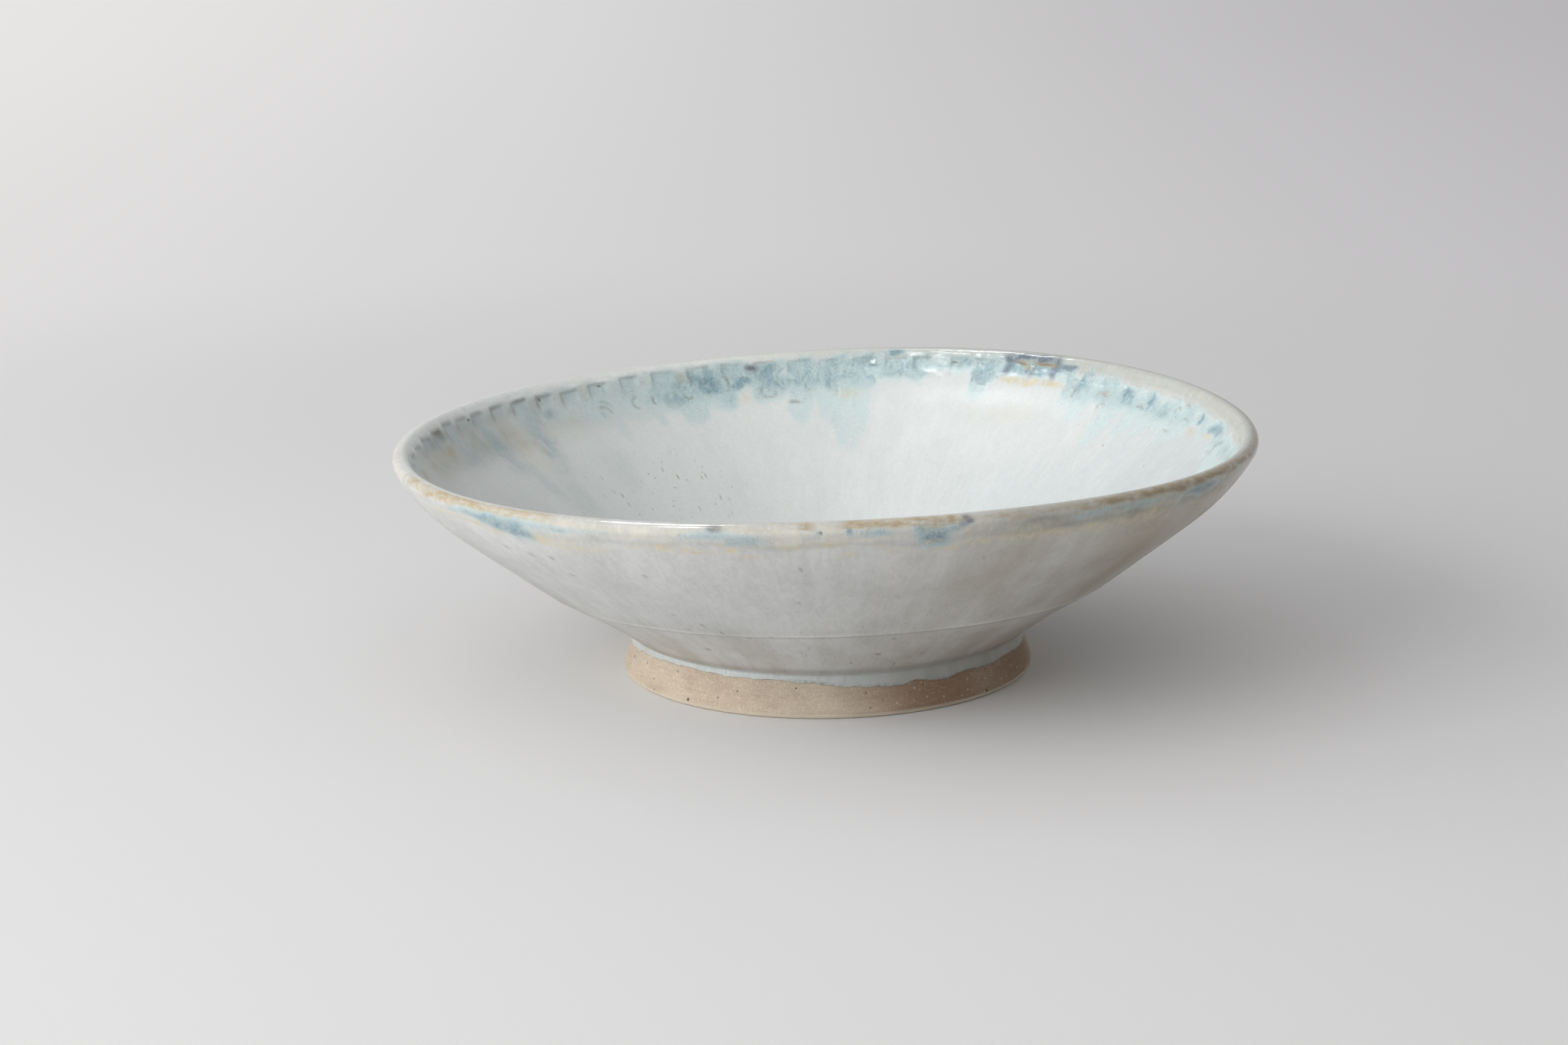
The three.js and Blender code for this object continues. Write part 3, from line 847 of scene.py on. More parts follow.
# %% Stains inside
DEEP_IN = [
    (107.9, 13, 1.6, 3.4, 1), (106.8, 9, 1.3, 3, 0.4), (103, 14, 1, 2.6, 0.85),
    (101.8, 11.5, 0.9, 1.7, 1), (98, 7, 1.7, 1.9, 0.35), (97, 12, 1.2, 2, 0.4), (105, 20, 1.6, 4, 0.35),
    (114.6, 18, 1.9, 4, 0.5), (112, 10, 2.2, 3, 0.3), (81, 7.5, 1.2, 1.4, 0.6), (78, 3, 1.7, 1.1, 1),
    (75, 8, 1.1, 2.2, 0.65), (71, 9.5, 1.2, 1.5, 0.45), (68.5, 9, 1.2, 1.5, 0.75),
    (66.8, 7, 1.2, 2.6, 0.75), (63, 12, 1.5, 4, 0.35), (45, 12, 0.8, 2.8, 0.9),
    (34.8, 12, 1.6, 3.6, 0.65), (41, 12, 1, 3, 0.3), (29.5, 12, 0.8, 2.8, 0.8), (25, 14, 0.9, 2.6, 0.5),
    (14.6, 10.5, 0.65, 2.8, 0.9), (7.8, 10.5, 2, 3.6, 0.9), (9.6, 12.6, 0.9, 1.8, 0.8),
    (5.8, 9, 0.8, 1.8, 0.6), (88.8, 16, 0.6, 3, 0.7), (91.5, 16, 0.6, 2, 0.5), (117.2, 12, 1, 2, 0.3),
    (59.3, 9, 0.9, 2.4, 0.7), (50.6, 8, 0.9, 2.8, 0.6), (48.5, 6, 1.3, 1.1, 0.7),
    (127.7, 19, 0.9, 2.2, 0.4), (53.2, 9.5, 1.8, 1.8, 0.62), (57.3, 9.5, 1.6, 1.6, 0.5),
] + scatter(32, HIDDEN_IN, 26, (7, 15), (0.7, 1.8), (1.6, 3.6), (0.35, 1))
INDIGO_IN = [
    (59, 4.6, 1.4, 2.6, 0.9), (56.5, 3.4, 2.3, 1.6, 1), (53.2, 3, 2.3, 1.5, 1),
    (50.8, 5, 1.1, 3.6, 0.9), (55.2, 9, 0.7, 2.6, 0.9), (59.6, 9.5, 0.7, 2.4, 0.8),
    (50.9, 10, 0.6, 2.8, 0.8), (48.3, 6, 1.4, 1.1, 0.7), (100.6, 7, 1, 1.6, 0.9),
] + scatter(33, HIDDEN_IN, 5, (4, 10), (0.8, 1.6), (1.4, 2.6), (0.5, 0.9))
TEAL_IN = [
    (153, 21, 1.7, 8, 0.75), (152.8, 33, 3, 5, 0.4), (142.6, 21, 1.9, 7, 0.5), (142.6, 29, 2.3, 7, 0.6),
    (143.4, 38, 2.4, 7, 0.35), (140.9, 14, 1.6, 5, 0.6), (137.3, 15, 1.4, 2.6, 0.9),
    (162, 16, 2.4, 6, 0.5), (171, 10, 3.4, 4, 0.5), (150.5, 45, 1.6, 12, 0.3), (146, 57, 3.2, 15, 0.28),
    (131, 48, 3, 12, 0.22), (156, 8, 14, 3.5, 0.25), (159, 22, 6, 6, 0.3),
] + scatter(34, HIDDEN_IN, 6, (12, 30), (1, 2.4), (4, 9), (0.3, 0.8))
OCHRE_IN = [
    (176.5, 16, 1.5, 1.8, 0.7), (166, 15, 1.5, 2.2, 0.7), (112.3, 9, 0.9, 3, 0.45), (40, 13, 1, 1, 0.5),
    (56.8, 5.9, 1.4, 0.8, 1), (55.5, 7, 0.6, 0.9, 0.8), (53, 5.1, 1.9, 0.9, 1),
    (51.3, 5.8, 0.55, 1, 0.9),
] + scatter(35, HIDDEN_IN, 12, (10, 19), (0.8, 2), (0.9, 2), (0.3, 0.7))
# Painted shade in the hollows of the marks on the left, where shade falls.
HOLLOW_SHADE_IN = [
    (166, 7.5, 1.9, 3, 0.65), (163.6, 10, 1, 3.4, 0.3), (170.5, 8.5, 1.4, 3.4, 0.25),
    (168.6, 11, 0.9, 3.4, 0.3), (175, 9, 2, 3, 0.25), (159.5, 9.5, 0.8, 3, 0.2),
    (149.6, 9, 0.8, 2.6, 0.22), (144.6, 9, 0.8, 2.6, 0.22), (139, 9.5, 0.8, 2.6, 0.2),
    (133.8, 9.5, 0.7, 2.4, 0.16),
] + scatter(38, HIDDEN_IN, 12, (7, 11), (0.8, 1.6), (2, 3.4), (0.1, 0.3))
AMBER_IN = [
    (57, 13.2, 3, 1.3, 0.7), (53, 13.7, 3.6, 1.5, 0.75), (49.5, 14, 2, 1.2, 0.5),
    (15, 17, 1.9, 1.5, 0.5), (9, 15.3, 2, 1.2, 0.6), (102, 20, 0.8, 3, 0.3), (85, 22, 2, 3, 0.3),
    (58, 31, 5, 5, 0.13), (53, 27, 4, 4, 0.1), (147, 26, 3, 12, 0.25), (171, 15, 3, 3, 0.3),
] + scatter(37, HIDDEN_IN, 14, (11, 24), (0.8, 3), (1, 2.6), (0.2, 0.6))
RUST_IN = [
    (156, 6.8, 0.35, 0.7, 1), (138.3, 8, 0.35, 0.8, 1), (126.7, 6, 0.35, 0.6, 1),
    (100.4, 7.4, 0.7, 1.2, 0.6), (94.2, 24, 1.1, 0.9, 0.5), (68.4, 7.3, 0.5, 1.1, 0.8),
    (56.9, 6.2, 1.3, 0.45, 0.55), (53, 5.2, 1.6, 0.45, 0.55), (81, 7.5, 0.7, 1, 0.5),
    (131.6, 60.3, 0.5, 1, 0.5), (136.8, 57.5, 0.3, 1.4, 0.35), (111.7, 71, 0.4, 0.6, 0.9),
    (79.5, 62.7, 0.3, 0.45, 0.9), (32.5, 35, 0.4, 0.5, 0.5),
] + scatter(36, HIDDEN_IN, 12, (5, 70), (0.3, 0.5), (0.4, 0.8), (0.4, 1))
# Where the glaze lies wet and shiny, and where it is pitted.
WET_IN = [
    (87, 6, 5, 2.4, 1), (80, 5.4, 3.4, 2, 1), (75, 12.6, 6, 2.4, 1), (54, 6, 4, 3, 0.8),
    (22, 12, 16, 6, 0.5),
]
PITTED = [
    (127, 60, 15, 16, 1), (112, 70, 10, 9, 0.5), (150, 66, 10, 9, 0.3), (60, 66, 20, 12, 0.15),
    (300, 60, 30, 16, 0.5),
]

# %% The lip's own ochre and brown round the bowl, and the stains outside
LIP_OCHRE = [
    (20, 0.5), (60, 0.8), (100, 0.3), (140, 0.6), (178, 0.2), (200, 0.35), (203, 1), (206, 0.6),
    (209, 0.9), (219, 1), (226, 0.8), (232, 0.9), (234, 0.4), (240, 0.2), (250, 0.15), (257, 0.35),
    (262, 0.3), (266, 0.4), (267, 1), (268.2, 0.3), (270.8, 0.3), (271.6, 1), (276, 0.75), (280, 0.95),
    (283, 0.6), (284.2, 1), (285, 0.4), (287.5, 0.25), (290, 0.45), (300, 0.4), (304, 0.8), (325, 1),
    (335, 0.8), (350, 0.7),
]
LIP_RUST = [
    (20, 0.2), (60, 0.5), (100, 0.1), (140, 0.3), (178, 0), (265.8, 0), (267, 0.6), (268.3, 0),
    (271.2, 0.1), (271.6, 0.55), (273, 0.3), (279, 0.35), (284, 0.6), (285, 0.1), (290, 0.2),
    (300, 0.15), (304, 0.55), (312, 0.8), (325, 0.85), (345, 0.6),
]
PALE_OUT = [
    (217, 6, 3, 2, 0.6), (225, 5, 8, 1.8, 1), (233, 5.6, 5, 2.2, 0.55), (240, 5.6, 4, 2, 0.4),
    (255, 5.5, 3.6, 2, 0.9), (260, 7.5, 2.4, 2.6, 0.9), (268, 6, 0.8, 2.5, 0.5),
    (272, 5.3, 0.7, 1.5, 0.8), (275, 6, 1.9, 1.8, 0.6), (282, 6.5, 2.5, 3.2, 1),
    (309, 6.3, 9.5, 2.4, 0.15), (323, 6.4, 4, 2.8, 0.4),
] + scatter(41, HIDDEN_OUT, 18, (5, 9), (1.2, 5), (1.6, 3.6), (0.5, 1))
DEEP_OUT = [
    (219, 6.4, 1.8, 1.5, 0.5), (222, 7.2, 2, 2.2, 0.85), (225, 8.2, 2, 2.8, 1), (228, 9.4, 1.8, 3.6, 1),
    (229.7, 10.6, 1.1, 2.2, 0.9), (260.3, 9.4, 1.1, 1.4, 0.4), (282.3, 9, 1.9, 3, 0.9),
    (282.4, 12.6, 2.2, 2.2, 0.45), (284.8, 6, 0.8, 1.6, 0.5), (280.5, 4.8, 0.9, 1.2, 0.6),
    (303, 6.4, 3, 1.8, 0.3), (311, 6.4, 3, 1.6, 0.25), (323.5, 6.4, 3.4, 2.4, 0.75),
    (258, 8.6, 1.2, 1.3, 0.35), (276, 6, 1.2, 1.6, 0.3), (235.5, 6.5, 0.8, 1.5, 0.4),
] + scatter(42, HIDDEN_OUT, 12, (5, 11), (0.8, 2.2), (1.6, 3), (0.4, 0.9))
INDIGO_OUT = [
    (256, 3, 0.9, 1.3, 1), (256, 2.6, 0.8, 1.3, 1), (285.9, 3.6, 0.8, 2, 1), (285.9, 3.6, 0.6, 1.6, 1),
    (272, 5.2, 0.35, 0.9, 0.7),
] + scatter(43, HIDDEN_OUT, 5, (2.5, 5), (0.5, 1.1), (1, 1.8), (0.6, 1))
GREY_OUT = [
    (309, 7.6, 11, 4, 1), (322, 7.5, 7, 4.4, 0.9), (295, 6.6, 6, 4, 0.8), (262, 9.4, 1.6, 2, 0.4),
    (275, 7, 2.2, 1.4, 0.3),
]
CREAM_OUT = [
    (246, 5.6, 5.4, 2.6, 0.9), (265, 6.5, 3.6, 2.7, 0.7), (278, 7, 1.3, 3, 0.5), (236, 12, 5, 4.5, 0.3),
    (292, 8, 4.8, 5, 0.3), (210, 6, 12, 3.4, 0.6), (345, 6, 14, 5, 0.5),
] + scatter(44, HIDDEN_OUT, 10, (5, 9), (3, 8), (2, 4), (0.4, 0.9))
OCHRE_OUT = [
    (213, 9, 4, 1.2, 0.5), (219, 10.2, 3, 1.1, 0.6), (223.5, 11.6, 2, 1, 0.6),
    (231.4, 11.4, 1.4, 1.8, 0.75), (237, 13.5, 4, 2.6, 0.4), (246, 11, 1.6, 1.4, 0.4),
    (249.5, 11, 2.4, 1.6, 0.7), (253, 12.6, 2, 1.4, 0.7), (257.6, 12.2, 1, 1.2, 0.5),
    (259.8, 14.6, 1.3, 1.1, 0.45), (265, 10.6, 1.6, 1.4, 0.6), (268, 10, 1, 1, 0.35),
    (270, 11, 1, 1.2, 0.6), (275.6, 12.4, 1, 1.2, 0.4), (277, 14, 1, 1.4, 0.5),
    (284.8, 14.5, 1.1, 1.7, 0.6), (288.5, 13.5, 1.7, 1.5, 0.55), (295, 11.5, 4.2, 2.2, 0.5),
    (306, 12.5, 6.3, 2.2, 0.5), (314, 11, 3.2, 2.2, 0.4),
]
OCHRE_OUT += scatter(45, HIDDEN_OUT, 14, (9, 15), (1, 4.5), (1, 2.2), (0.3, 0.6))
OCHRE_OUT += scatter(47, (232, 322), 40, (8.8, 16), (0.3, 1.2), (0.5, 1.3), (0.15, 0.5))
RUST_OUT = [
    (268.4, 5, 0.25, 0.6, 1), (231, 22, 0.4, 0.45, 0.6), (231.7, 33.5, 0.45, 0.7, 0.6),
    (222.8, 20, 0.45, 0.5, 0.5), (227.5, 22, 0.4, 0.5, 0.5), (240, 13.5, 0.3, 0.4, 0.6),
    (238, 20, 0.4, 0.6, 0.4), (245, 28, 0.4, 0.5, 0.45), (266, 22, 0.25, 0.4, 0.7),
    (282, 25.5, 0.25, 0.4, 0.8), (289.8, 21.5, 0.4, 0.5, 0.9), (297, 27.5, 0.3, 0.5, 0.5),
    (303, 19.5, 0.35, 0.5, 0.5), (282.2, 79.5, 0.4, 0.7, 0.9), (243.7, 70, 0.5, 0.8, 0.6),
    (280.5, 94, 0.6, 1, 0.7), (278, 97, 0.5, 1, 0.6), (263.5, 90, 0.5, 0.8, 0.5),
    (319, 38, 0.7, 1.6, 0.4),
]
RUST_OUT += scatter(48, (200, 330), 40, (16, 108), (0.2, 0.5), (0.35, 0.8), (0.4, 1))
RUST_OUT += scatter(46, HIDDEN_OUT, 16, (14, 100), (0.25, 0.5), (0.4, 0.9), (0.4, 0.9))
print("specks:", len(RUST_IN), "inside,", len(RUST_OUT), "outside")

# %% [markdown]
# ## Painting a coat
#
# The vertices of a coat are gathered in a small class, with their place on the unrolled
# wall. Clouds push that place about, so that a stain gets the ragged edge of a glaze that
# ran. Each group of stains has its own function, which gives numbers by name. Strengths
# that change round the bowl are tables of degrees and value.

# %% The vertices of a coat
class Vertices:
    """Where the vertices of one coat lie on the wall, and where a ragged stain sees them."""

    def __init__(self, piece):
        co = places(piece)
        self.degrees = polar(co)[1]
        self.height = co[:, 2]
        self.distance = read(piece, "distance")
        self.mm = abs(self.distance) / MM
        self.inside = rise(self.distance, -0.6 * MM, 0.6 * MM)
        self.outside = 1 - self.inside
        stir = rise(self.mm, 2.5, 5)
        self.bend = self.cloud(0.5, 51, 2.8, 4) + self.cloud(0.22, 52, 1.1, 1.6)
        sag = self.cloud(1.1, 53, 2.8, 4) + self.cloud(0.5, 54, 1.1, 1.6)
        self.ragged = (self.degrees + stir * self.bend) % 360
        self.wavy = self.mm + stir * sag
        self.sagging = self.wavy + 1.1 * wander(66, self.degrees, 5) + 0.5 * wander(67, self.degrees, 2)

    def cloud(self, strength, seed, across, down):
        """A cloud of this strength, with spots across degrees wide and down mm long."""
        return strength * cloud(seed, self.degrees, self.distance, across, down * MM)

    def by(self, table):
        return along(self.degrees, table)

    def stain(self, within, without=(), crisp=False):
        """Blots inside and blots outside, each on its own side only."""
        inner_blots = blots(self.ragged, self.wavy, within, crisp) * self.inside
        return inner_blots + blots(self.ragged, self.wavy, without, crisp) * self.outside


def bell(x):
    """1 at 0, and falling to nothing on both sides."""
    return np.exp(-x ** 2)


# %% Blue, cream and the colours of the lip
BLUE_TOP = [
    (0, 7.5), (20, 6.5), (35, 5.5), (47, 4.5), (60, 2), (72, 3), (120, 3), (180, 3), (230, 3), (300, 5),
]
BLUE_FORCE = [
    (0, 0.75), (30, 0.75), (60, 1), (82, 0.9), (100, 1), (114, 0.85), (121, 0.55), (130, 0.42),
    (142, 0.3), (160, 0.15), (185, 0.15), (230, 0.9), (300, 0.8),
]
COMB = [(0, 1), (48, 1), (60, 0.5), (80, 0.6), (110, 0.5), (130, 0.2), (180, 0.2), (300, 1)]
BAR_FORCE = [
    (0, 0.55), (45, 0.65), (60, 0.5), (90, 0.6), (118, 0.9), (130, 0.7), (170, 0.5), (240, 0.7),
    (300, 0.5),
]
CREAM_END = [(0, 6), (30, 4.5), (60, 3.5), (300, 3.5)]
CREAM_FORCE = [
    (0, 0.8), (45, 0.65), (62, 0.4), (100, 0.35), (125, 0.2), (150, 0.1), (195, 0.1), (240, 0.7),
]
COLLAR = [
    (0, 0.5), (60, 0.7), (120, 0.6), (180, 0.5), (205, 0.5), (232, 0.6), (240, 1), (279, 1), (287, 0.7),
    (300, 0.6), (325, 0.4), (350, 0.5),
]


def bars_between(at):
    """The clay left standing between the marks, which the blue ran off."""
    number, u, _ = in_marks(at.degrees + 0.7 * at.bend, at.distance)
    hollow = rise(u, -0.4 * MM, 1.5 * MM) * rise(mark_width[number] - u, -1.2 * MM, 2.0 * MM)
    row = rise(at.mm, 3.5, 5.5) * (1 - rise(at.wavy, 9, 15))
    return (1 - hollow) * row * (0.7 + at.cloud(0.5, 65, 2.2, 4)) * at.by(BAR_FORCE)


def blue_and_cream(at):
    """The blue wash, pooled in the marks, and the cream on the lip and between the marks."""
    bars = bars_between(at)
    comb = (at.cloud(2.4, 68, 2.3, 9) + at.cloud(1.5, 69, 1.0, 7)) * at.by(COMB)
    top = at.by(BLUE_TOP) + comb
    wash = rise(reach_of_blue(at.ragged) - at.wavy, -2, 5)
    wash = wash * (0.60 - 0.27 * rise(at.wavy, 13, 22) - 0.12 * rise(at.wavy, 24, 45))
    wash = wash * rise(at.wavy, top - 0.5, top + 3.5) * at.by(BLUE_FORCE) * (1 - 0.7 * bars)
    wash = wash * at.inside + 0.42 * at.stain((), PALE_OUT)
    lip_cream = (1 - rise(at.mm - comb, at.by(CREAM_END), 9)) * at.by(CREAM_FORCE)
    lip_cream = np.maximum(lip_cream, 0.75 * bars) * at.inside
    collar = 0.8 * rise(at.mm, 2, 4.5) * (1 - rise(at.sagging, 7.4, 9.8)) * at.by(COLLAR)
    outer_cream = np.maximum(collar * at.outside, at.stain((), CREAM_OUT))
    return {
        "blue": wash + (1 - wash) * 0.85 * at.stain(DEEP_IN, DEEP_OUT),
        "cream": np.maximum(lip_cream, outer_cream),
    }


def lip_and_specks(at):
    """The strong small stains, and the ochre and brown of the lip."""
    lip = rise(at.mm, 0.1, 1.0) * (1 - rise(at.wavy, 3.2, 4.8)) * at.outside
    return {
        "indigo": at.stain(INDIGO_IN, INDIGO_OUT),
        "teal": at.stain(TEAL_IN),
        "ochre": np.maximum(at.stain(OCHRE_IN), lip * at.by(LIP_OCHRE)),
        "amber": at.stain(AMBER_IN, OCHRE_OUT),
        "rust": at.stain(RUST_IN, RUST_OUT, crisp=True),
        "brown": lip * at.by(LIP_RUST) * rise(at.mm, 1, 3),
        "wet": at.stain(WET_IN),
    }


# %% Edges that the glaze broke over, and painted shade and highlight along edges
# How darkly it broke over the marks' edges, and the half width of that line in mm.
LINE_FORCE = [
    (0, 0.12), (30, 0.15), (48, 0.25), (60, 0.3), (66, 0.25), (100, 0.4), (112, 0.42), (125, 0.55),
    (135, 0.68), (150, 0.72), (158, 0.6), (161, 0.5), (163.5, 0.9), (167, 0.9), (169, 0.65), (176, 0.5),
    (190, 0.5), (230, 0.4), (290, 0.5), (340, 0.2),
]
LINE_HALF = [(0, 0.5), (100, 0.65), (125, 0.75), (150, 0.95), (165, 1.5), (180, 1.5), (230, 0.9)]
# How strong the painted shade in the turning ridge's cut is, round the bowl.
RIDGE_SHADE_FORCE = [(180, 0.7), (270, 0.75), (295, 1.15), (330, 1.2), (360, 0.8)]


def edges(at):
    """Dark edges of the marks and rings of the stamps; painted shade in the hollows on the left,
    under the rim coat's end and in the ridge's cut; and a painted highlight above the ridge.
    """
    number, u, v = in_marks(at.degrees, at.distance)
    half = at.by(LINE_HALF) * MM
    across = rise(u, -0.8 * MM, 0.8 * MM) * rise(mark_width[number] - u, -0.6 * MM, 1.6 * MM)
    left_edge = bell((u - 0.2 * MM) / (1.15 * half)) * band(v, -1 * MM, 0.4 * MM, 2 * MM, 7 * MM)
    uneven = 0.75 + at.cloud(0.5, 56, 3.1, 4)
    square = np.maximum(bell(v / half) * across, 0.95 * left_edge) * at.by(LINE_FORCE) * uneven
    rings = 0.8 * stamped(at.degrees, at.distance, 0.8) * np.clip(uneven, 0, 1)
    # Painted shade just under the lower end of the rim coat.
    coat_end_shade = 0.2 * (1 - rise(abs(at.sagging - 10), 0.3, 1.8)) * at.by(COLLAR)
    wear = ridge_wear(at.degrees)
    # Painted shade in the cut under the turning ridge.
    ridge_shade_line = bell((at.mm - 74.5) / 0.8) * wear * at.by(RIDGE_SHADE_FORCE)
    # The hollows on the left add painted shade to the lines inside.
    inner_lines = np.maximum(square, rings) * at.inside + at.stain(HOLLOW_SHADE_IN)
    return {
        "line": inner_lines + (coat_end_shade + ridge_shade_line) * at.outside,
        # A painted highlight on the ridge's step, just above its painted shade.
        "worn": bell((at.mm - 72.7) / 0.85) * wear * at.outside,
        "pool": press(at.degrees, at.distance) * at.inside * rise(at.mm, 4, 6),
    }


# %% Tones of the walls, with painted shade and painted light
GREY_FORCE = [
    (90, 0), (112, 0.12), (128, 0.5), (142, 0.85), (160, 1), (172, 0.85), (181, 0.5), (200, 0.3),
    (260, 0),
]
# How much darker the lip is made, round the bowl.
DARKER_LIP_FORCE = [
    (0, 0.9), (20, 0.65), (50, 0.75), (70, 0.75), (90, 0.25), (110, 0), (130, 0), (178, 0.1),
    (185, 0.3), (200, 0.5), (215, 0.5), (226, 0.3), (240, 0.1), (285, 0.1), (292, 0.5), (325, 0.5),
    (345, 0.7),
]
# Painted light on the inside of the lip on the left, which faces away from the windows.
LIP_LIGHT_FORCE = [(90, 0), (102, 0.7), (125, 1), (150, 1), (176, 0.9), (200, 0)]
# Painted shade with a warm tint on the right of the outer wall, the side away from the windows, round
# the bowl.
WARM_SHADE_FORCE = [(180, 0.1), (250, 0), (275, 0.12), (288, 0.5), (300, 0.6), (325, 0.95), (350, 0.7)]
GLOSS_END = [(0, 14), (90, 16), (180, 12), (270, 8)]     # how far down the glassy lip reaches, in mm
# Painted shade on the outer wall round the bowl: on the left, on the right, and in the row under the
# lip on the right.
SHADE_LEFT = [(160, 0.3), (185, 0.5), (205, 0.5), (222, 0.15), (240, 0), (330, 0)]
SHADE_RIGHT = [(294, 0), (306, 0.5), (320, 0.45), (335, 0)]
SHADE_LIP = [(286, 0), (292, 0.7), (309, 0.95), (325, 0.95), (338, 0)]


def tones(at):
    """Greyer parts, painted shade and light, a darker lip in places, gloss, and the walls' soft tone.
    """
    grey = at.by(GREY_FORCE) * rise(at.wavy, 5.5, 9) * (1 - rise(at.wavy, 17, 34))
    grey = grey * (0.8 + at.cloud(0.4, 57, 6, 9)) * at.inside
    tone = at.cloud(0.5, 58, 14, 34) + at.cloud(0.35, 59, 5, 45)
    tone = tone + at.cloud(0.25, 60, 1.8, 30) + at.cloud(0.25, 63, 4, 8)
    # Painted shade on the outer wall.
    dim = rise(at.mm, 8, 14) * at.by(SHADE_LEFT) + band(at.mm, 22, 36, 60, 74) * at.by(SHADE_RIGHT)
    lip_row = rise(at.mm, 3.6, 6) * (1 - rise(at.wavy, 8, 14)) * (0.85 + at.cloud(0.5, 70, 2.6, 5))
    gloss_end = at.by(GLOSS_END) * (0.75 + 0.25 * at.inside)
    outer_pits = (0.3 * rise(at.mm, 60, 80) + 0.12) * at.outside
    return {
        "side": at.outside,
        "grey": grey + at.stain((), GREY_OUT),
        # shade is painted shade: the inside is darkened towards 330 degrees, the half that faces the
        # windows, and keeps its ground at 150 degrees.
        "shade": 0.5 - 0.5 * np.cos(np.radians(at.degrees - 150)) * at.inside,
        "tone": 0.5 + 0.5 * tone,
        "pitted": np.maximum(blots(at.degrees, at.mm, PITTED), outer_pits),
        "low": at.outside * (0.5 * rise(at.mm, 60, 76) + 0.5 * rise(at.mm, 76, 106)),
        "dim": at.outside * (dim + lip_row * at.by(SHADE_LIP)),
        "gloss": 1 - rise(at.mm, gloss_end, 30),
        "lip": 1 - rise(at.mm, 3, 7),
        # Painted light on the inside of the lip.
        "lip_pale": at.inside * band(at.mm, 1, 2.5, 5.2, 7.4) * at.by(LIP_LIGHT_FORCE),
        "thin": (1 - rise(at.mm, 4.5, 9)) * at.by(DARKER_LIP_FORCE),
        # Painted shade with a warm tint on the right of the outer wall.
        "warm": at.outside * at.by(WARM_SHADE_FORCE) * rise(at.mm, 2.5, 7),
    }


# %% The roll over the foot
ROLL_FORCE = [(180, 1), (262, 0.95), (285, 0.8), (310, 0.6), (345, 0.6), (360, 0.9)]
# How strongly the roll is painted with shade round the bowl, most on the right, away from the windows.
ROLL_SHADE_FORCE = [(180, 0), (240, 0.15), (262, 0.3), (278, 0.5), (296, 0.95), (345, 1), (360, 0.5)]
FRINGE = [(0, 0.3), (180, 0.1), (255, 0.15), (263, 0.9), (310, 0.9), (345, 0.4)]


def roll_stains(at):
    """Painted shade in the groove above the roll, the roll with painted shade on its right,
    and the blue and brown fringe of its edge.
    """
    rolled = at.outside * rise(at.mm, 112, 113)
    ragged_edge = roll_edge(at.degrees) * MM + 0.25 * MM * wander(64, at.degrees, 1.5)
    fringe = 1 - rise(at.height - ragged_edge, 0.2 * MM, 1.5 * MM)
    return {
        # Painted shade in the groove above the roll.
        "crease": at.outside * band(at.mm, 106, 110, 111.6, 113),
        "roll": rolled * at.by(ROLL_FORCE),
        # Painted shade on the roll.
        "roll_dim": rolled * at.by(ROLL_SHADE_FORCE),
        "fringe": rolled * fringe * at.by(FRINGE),
    }


# %% Paint the three coats
def paint(piece):
    """Writes the stains of this coat's vertices as attributes."""
    at = Vertices(piece)
    for group in (blue_and_cream, lip_and_specks, edges, tones, roll_stains):
        numbers = group(at)
        for label, values in numbers.items():
            write(piece, label, np.clip(values, 0, 1))
        print(piece.name, {label: round(float(values.mean()), 3) for label, values in numbers.items()})


for shell in (inner_coat, rim_coat, outer_coat):
    paint(shell)

# %% [markdown]
# ## A small language for node materials
#
# Building a material by hand means adding nodes and dragging links. In code the same is
# shorter if a socket can be added and multiplied like a number. The class below wraps an
# output socket, and each operator adds one Math node. Everything else goes through
# add(), which takes a node's type, its settings and what its sockets are fed with.

# %% Sockets that can be reckoned with
class Wire:
    """An output socket. Arithmetic on it adds Math nodes to its tree."""

    def __init__(self, finish, socket):
        self.finish, self.socket = finish, socket

    def math(self, operation, *values):
        return self.finish.add("Math", {"operation": operation}, dict(enumerate(values)))

    def size(self):
        return self.math("ABSOLUTE", self)

    def __add__(self, other):
        return self.math("ADD", self, other)

    def __mul__(self, other):
        return self.math("MULTIPLY", self, other)

    def __sub__(self, other):
        return self.math("SUBTRACT", self, other)

    def __rsub__(self, other):
        return self.math("SUBTRACT", other, self)

    __radd__ = __add__
    __rmul__ = __mul__

    def above(self, low, high):
        """0 below low, 1 above high, smooth between."""
        settings = {"interpolation_type": "SMOOTHSTEP"}
        return self.finish.add("MapRange", settings, {"Value": self, "From Min": low, "From Max": high})


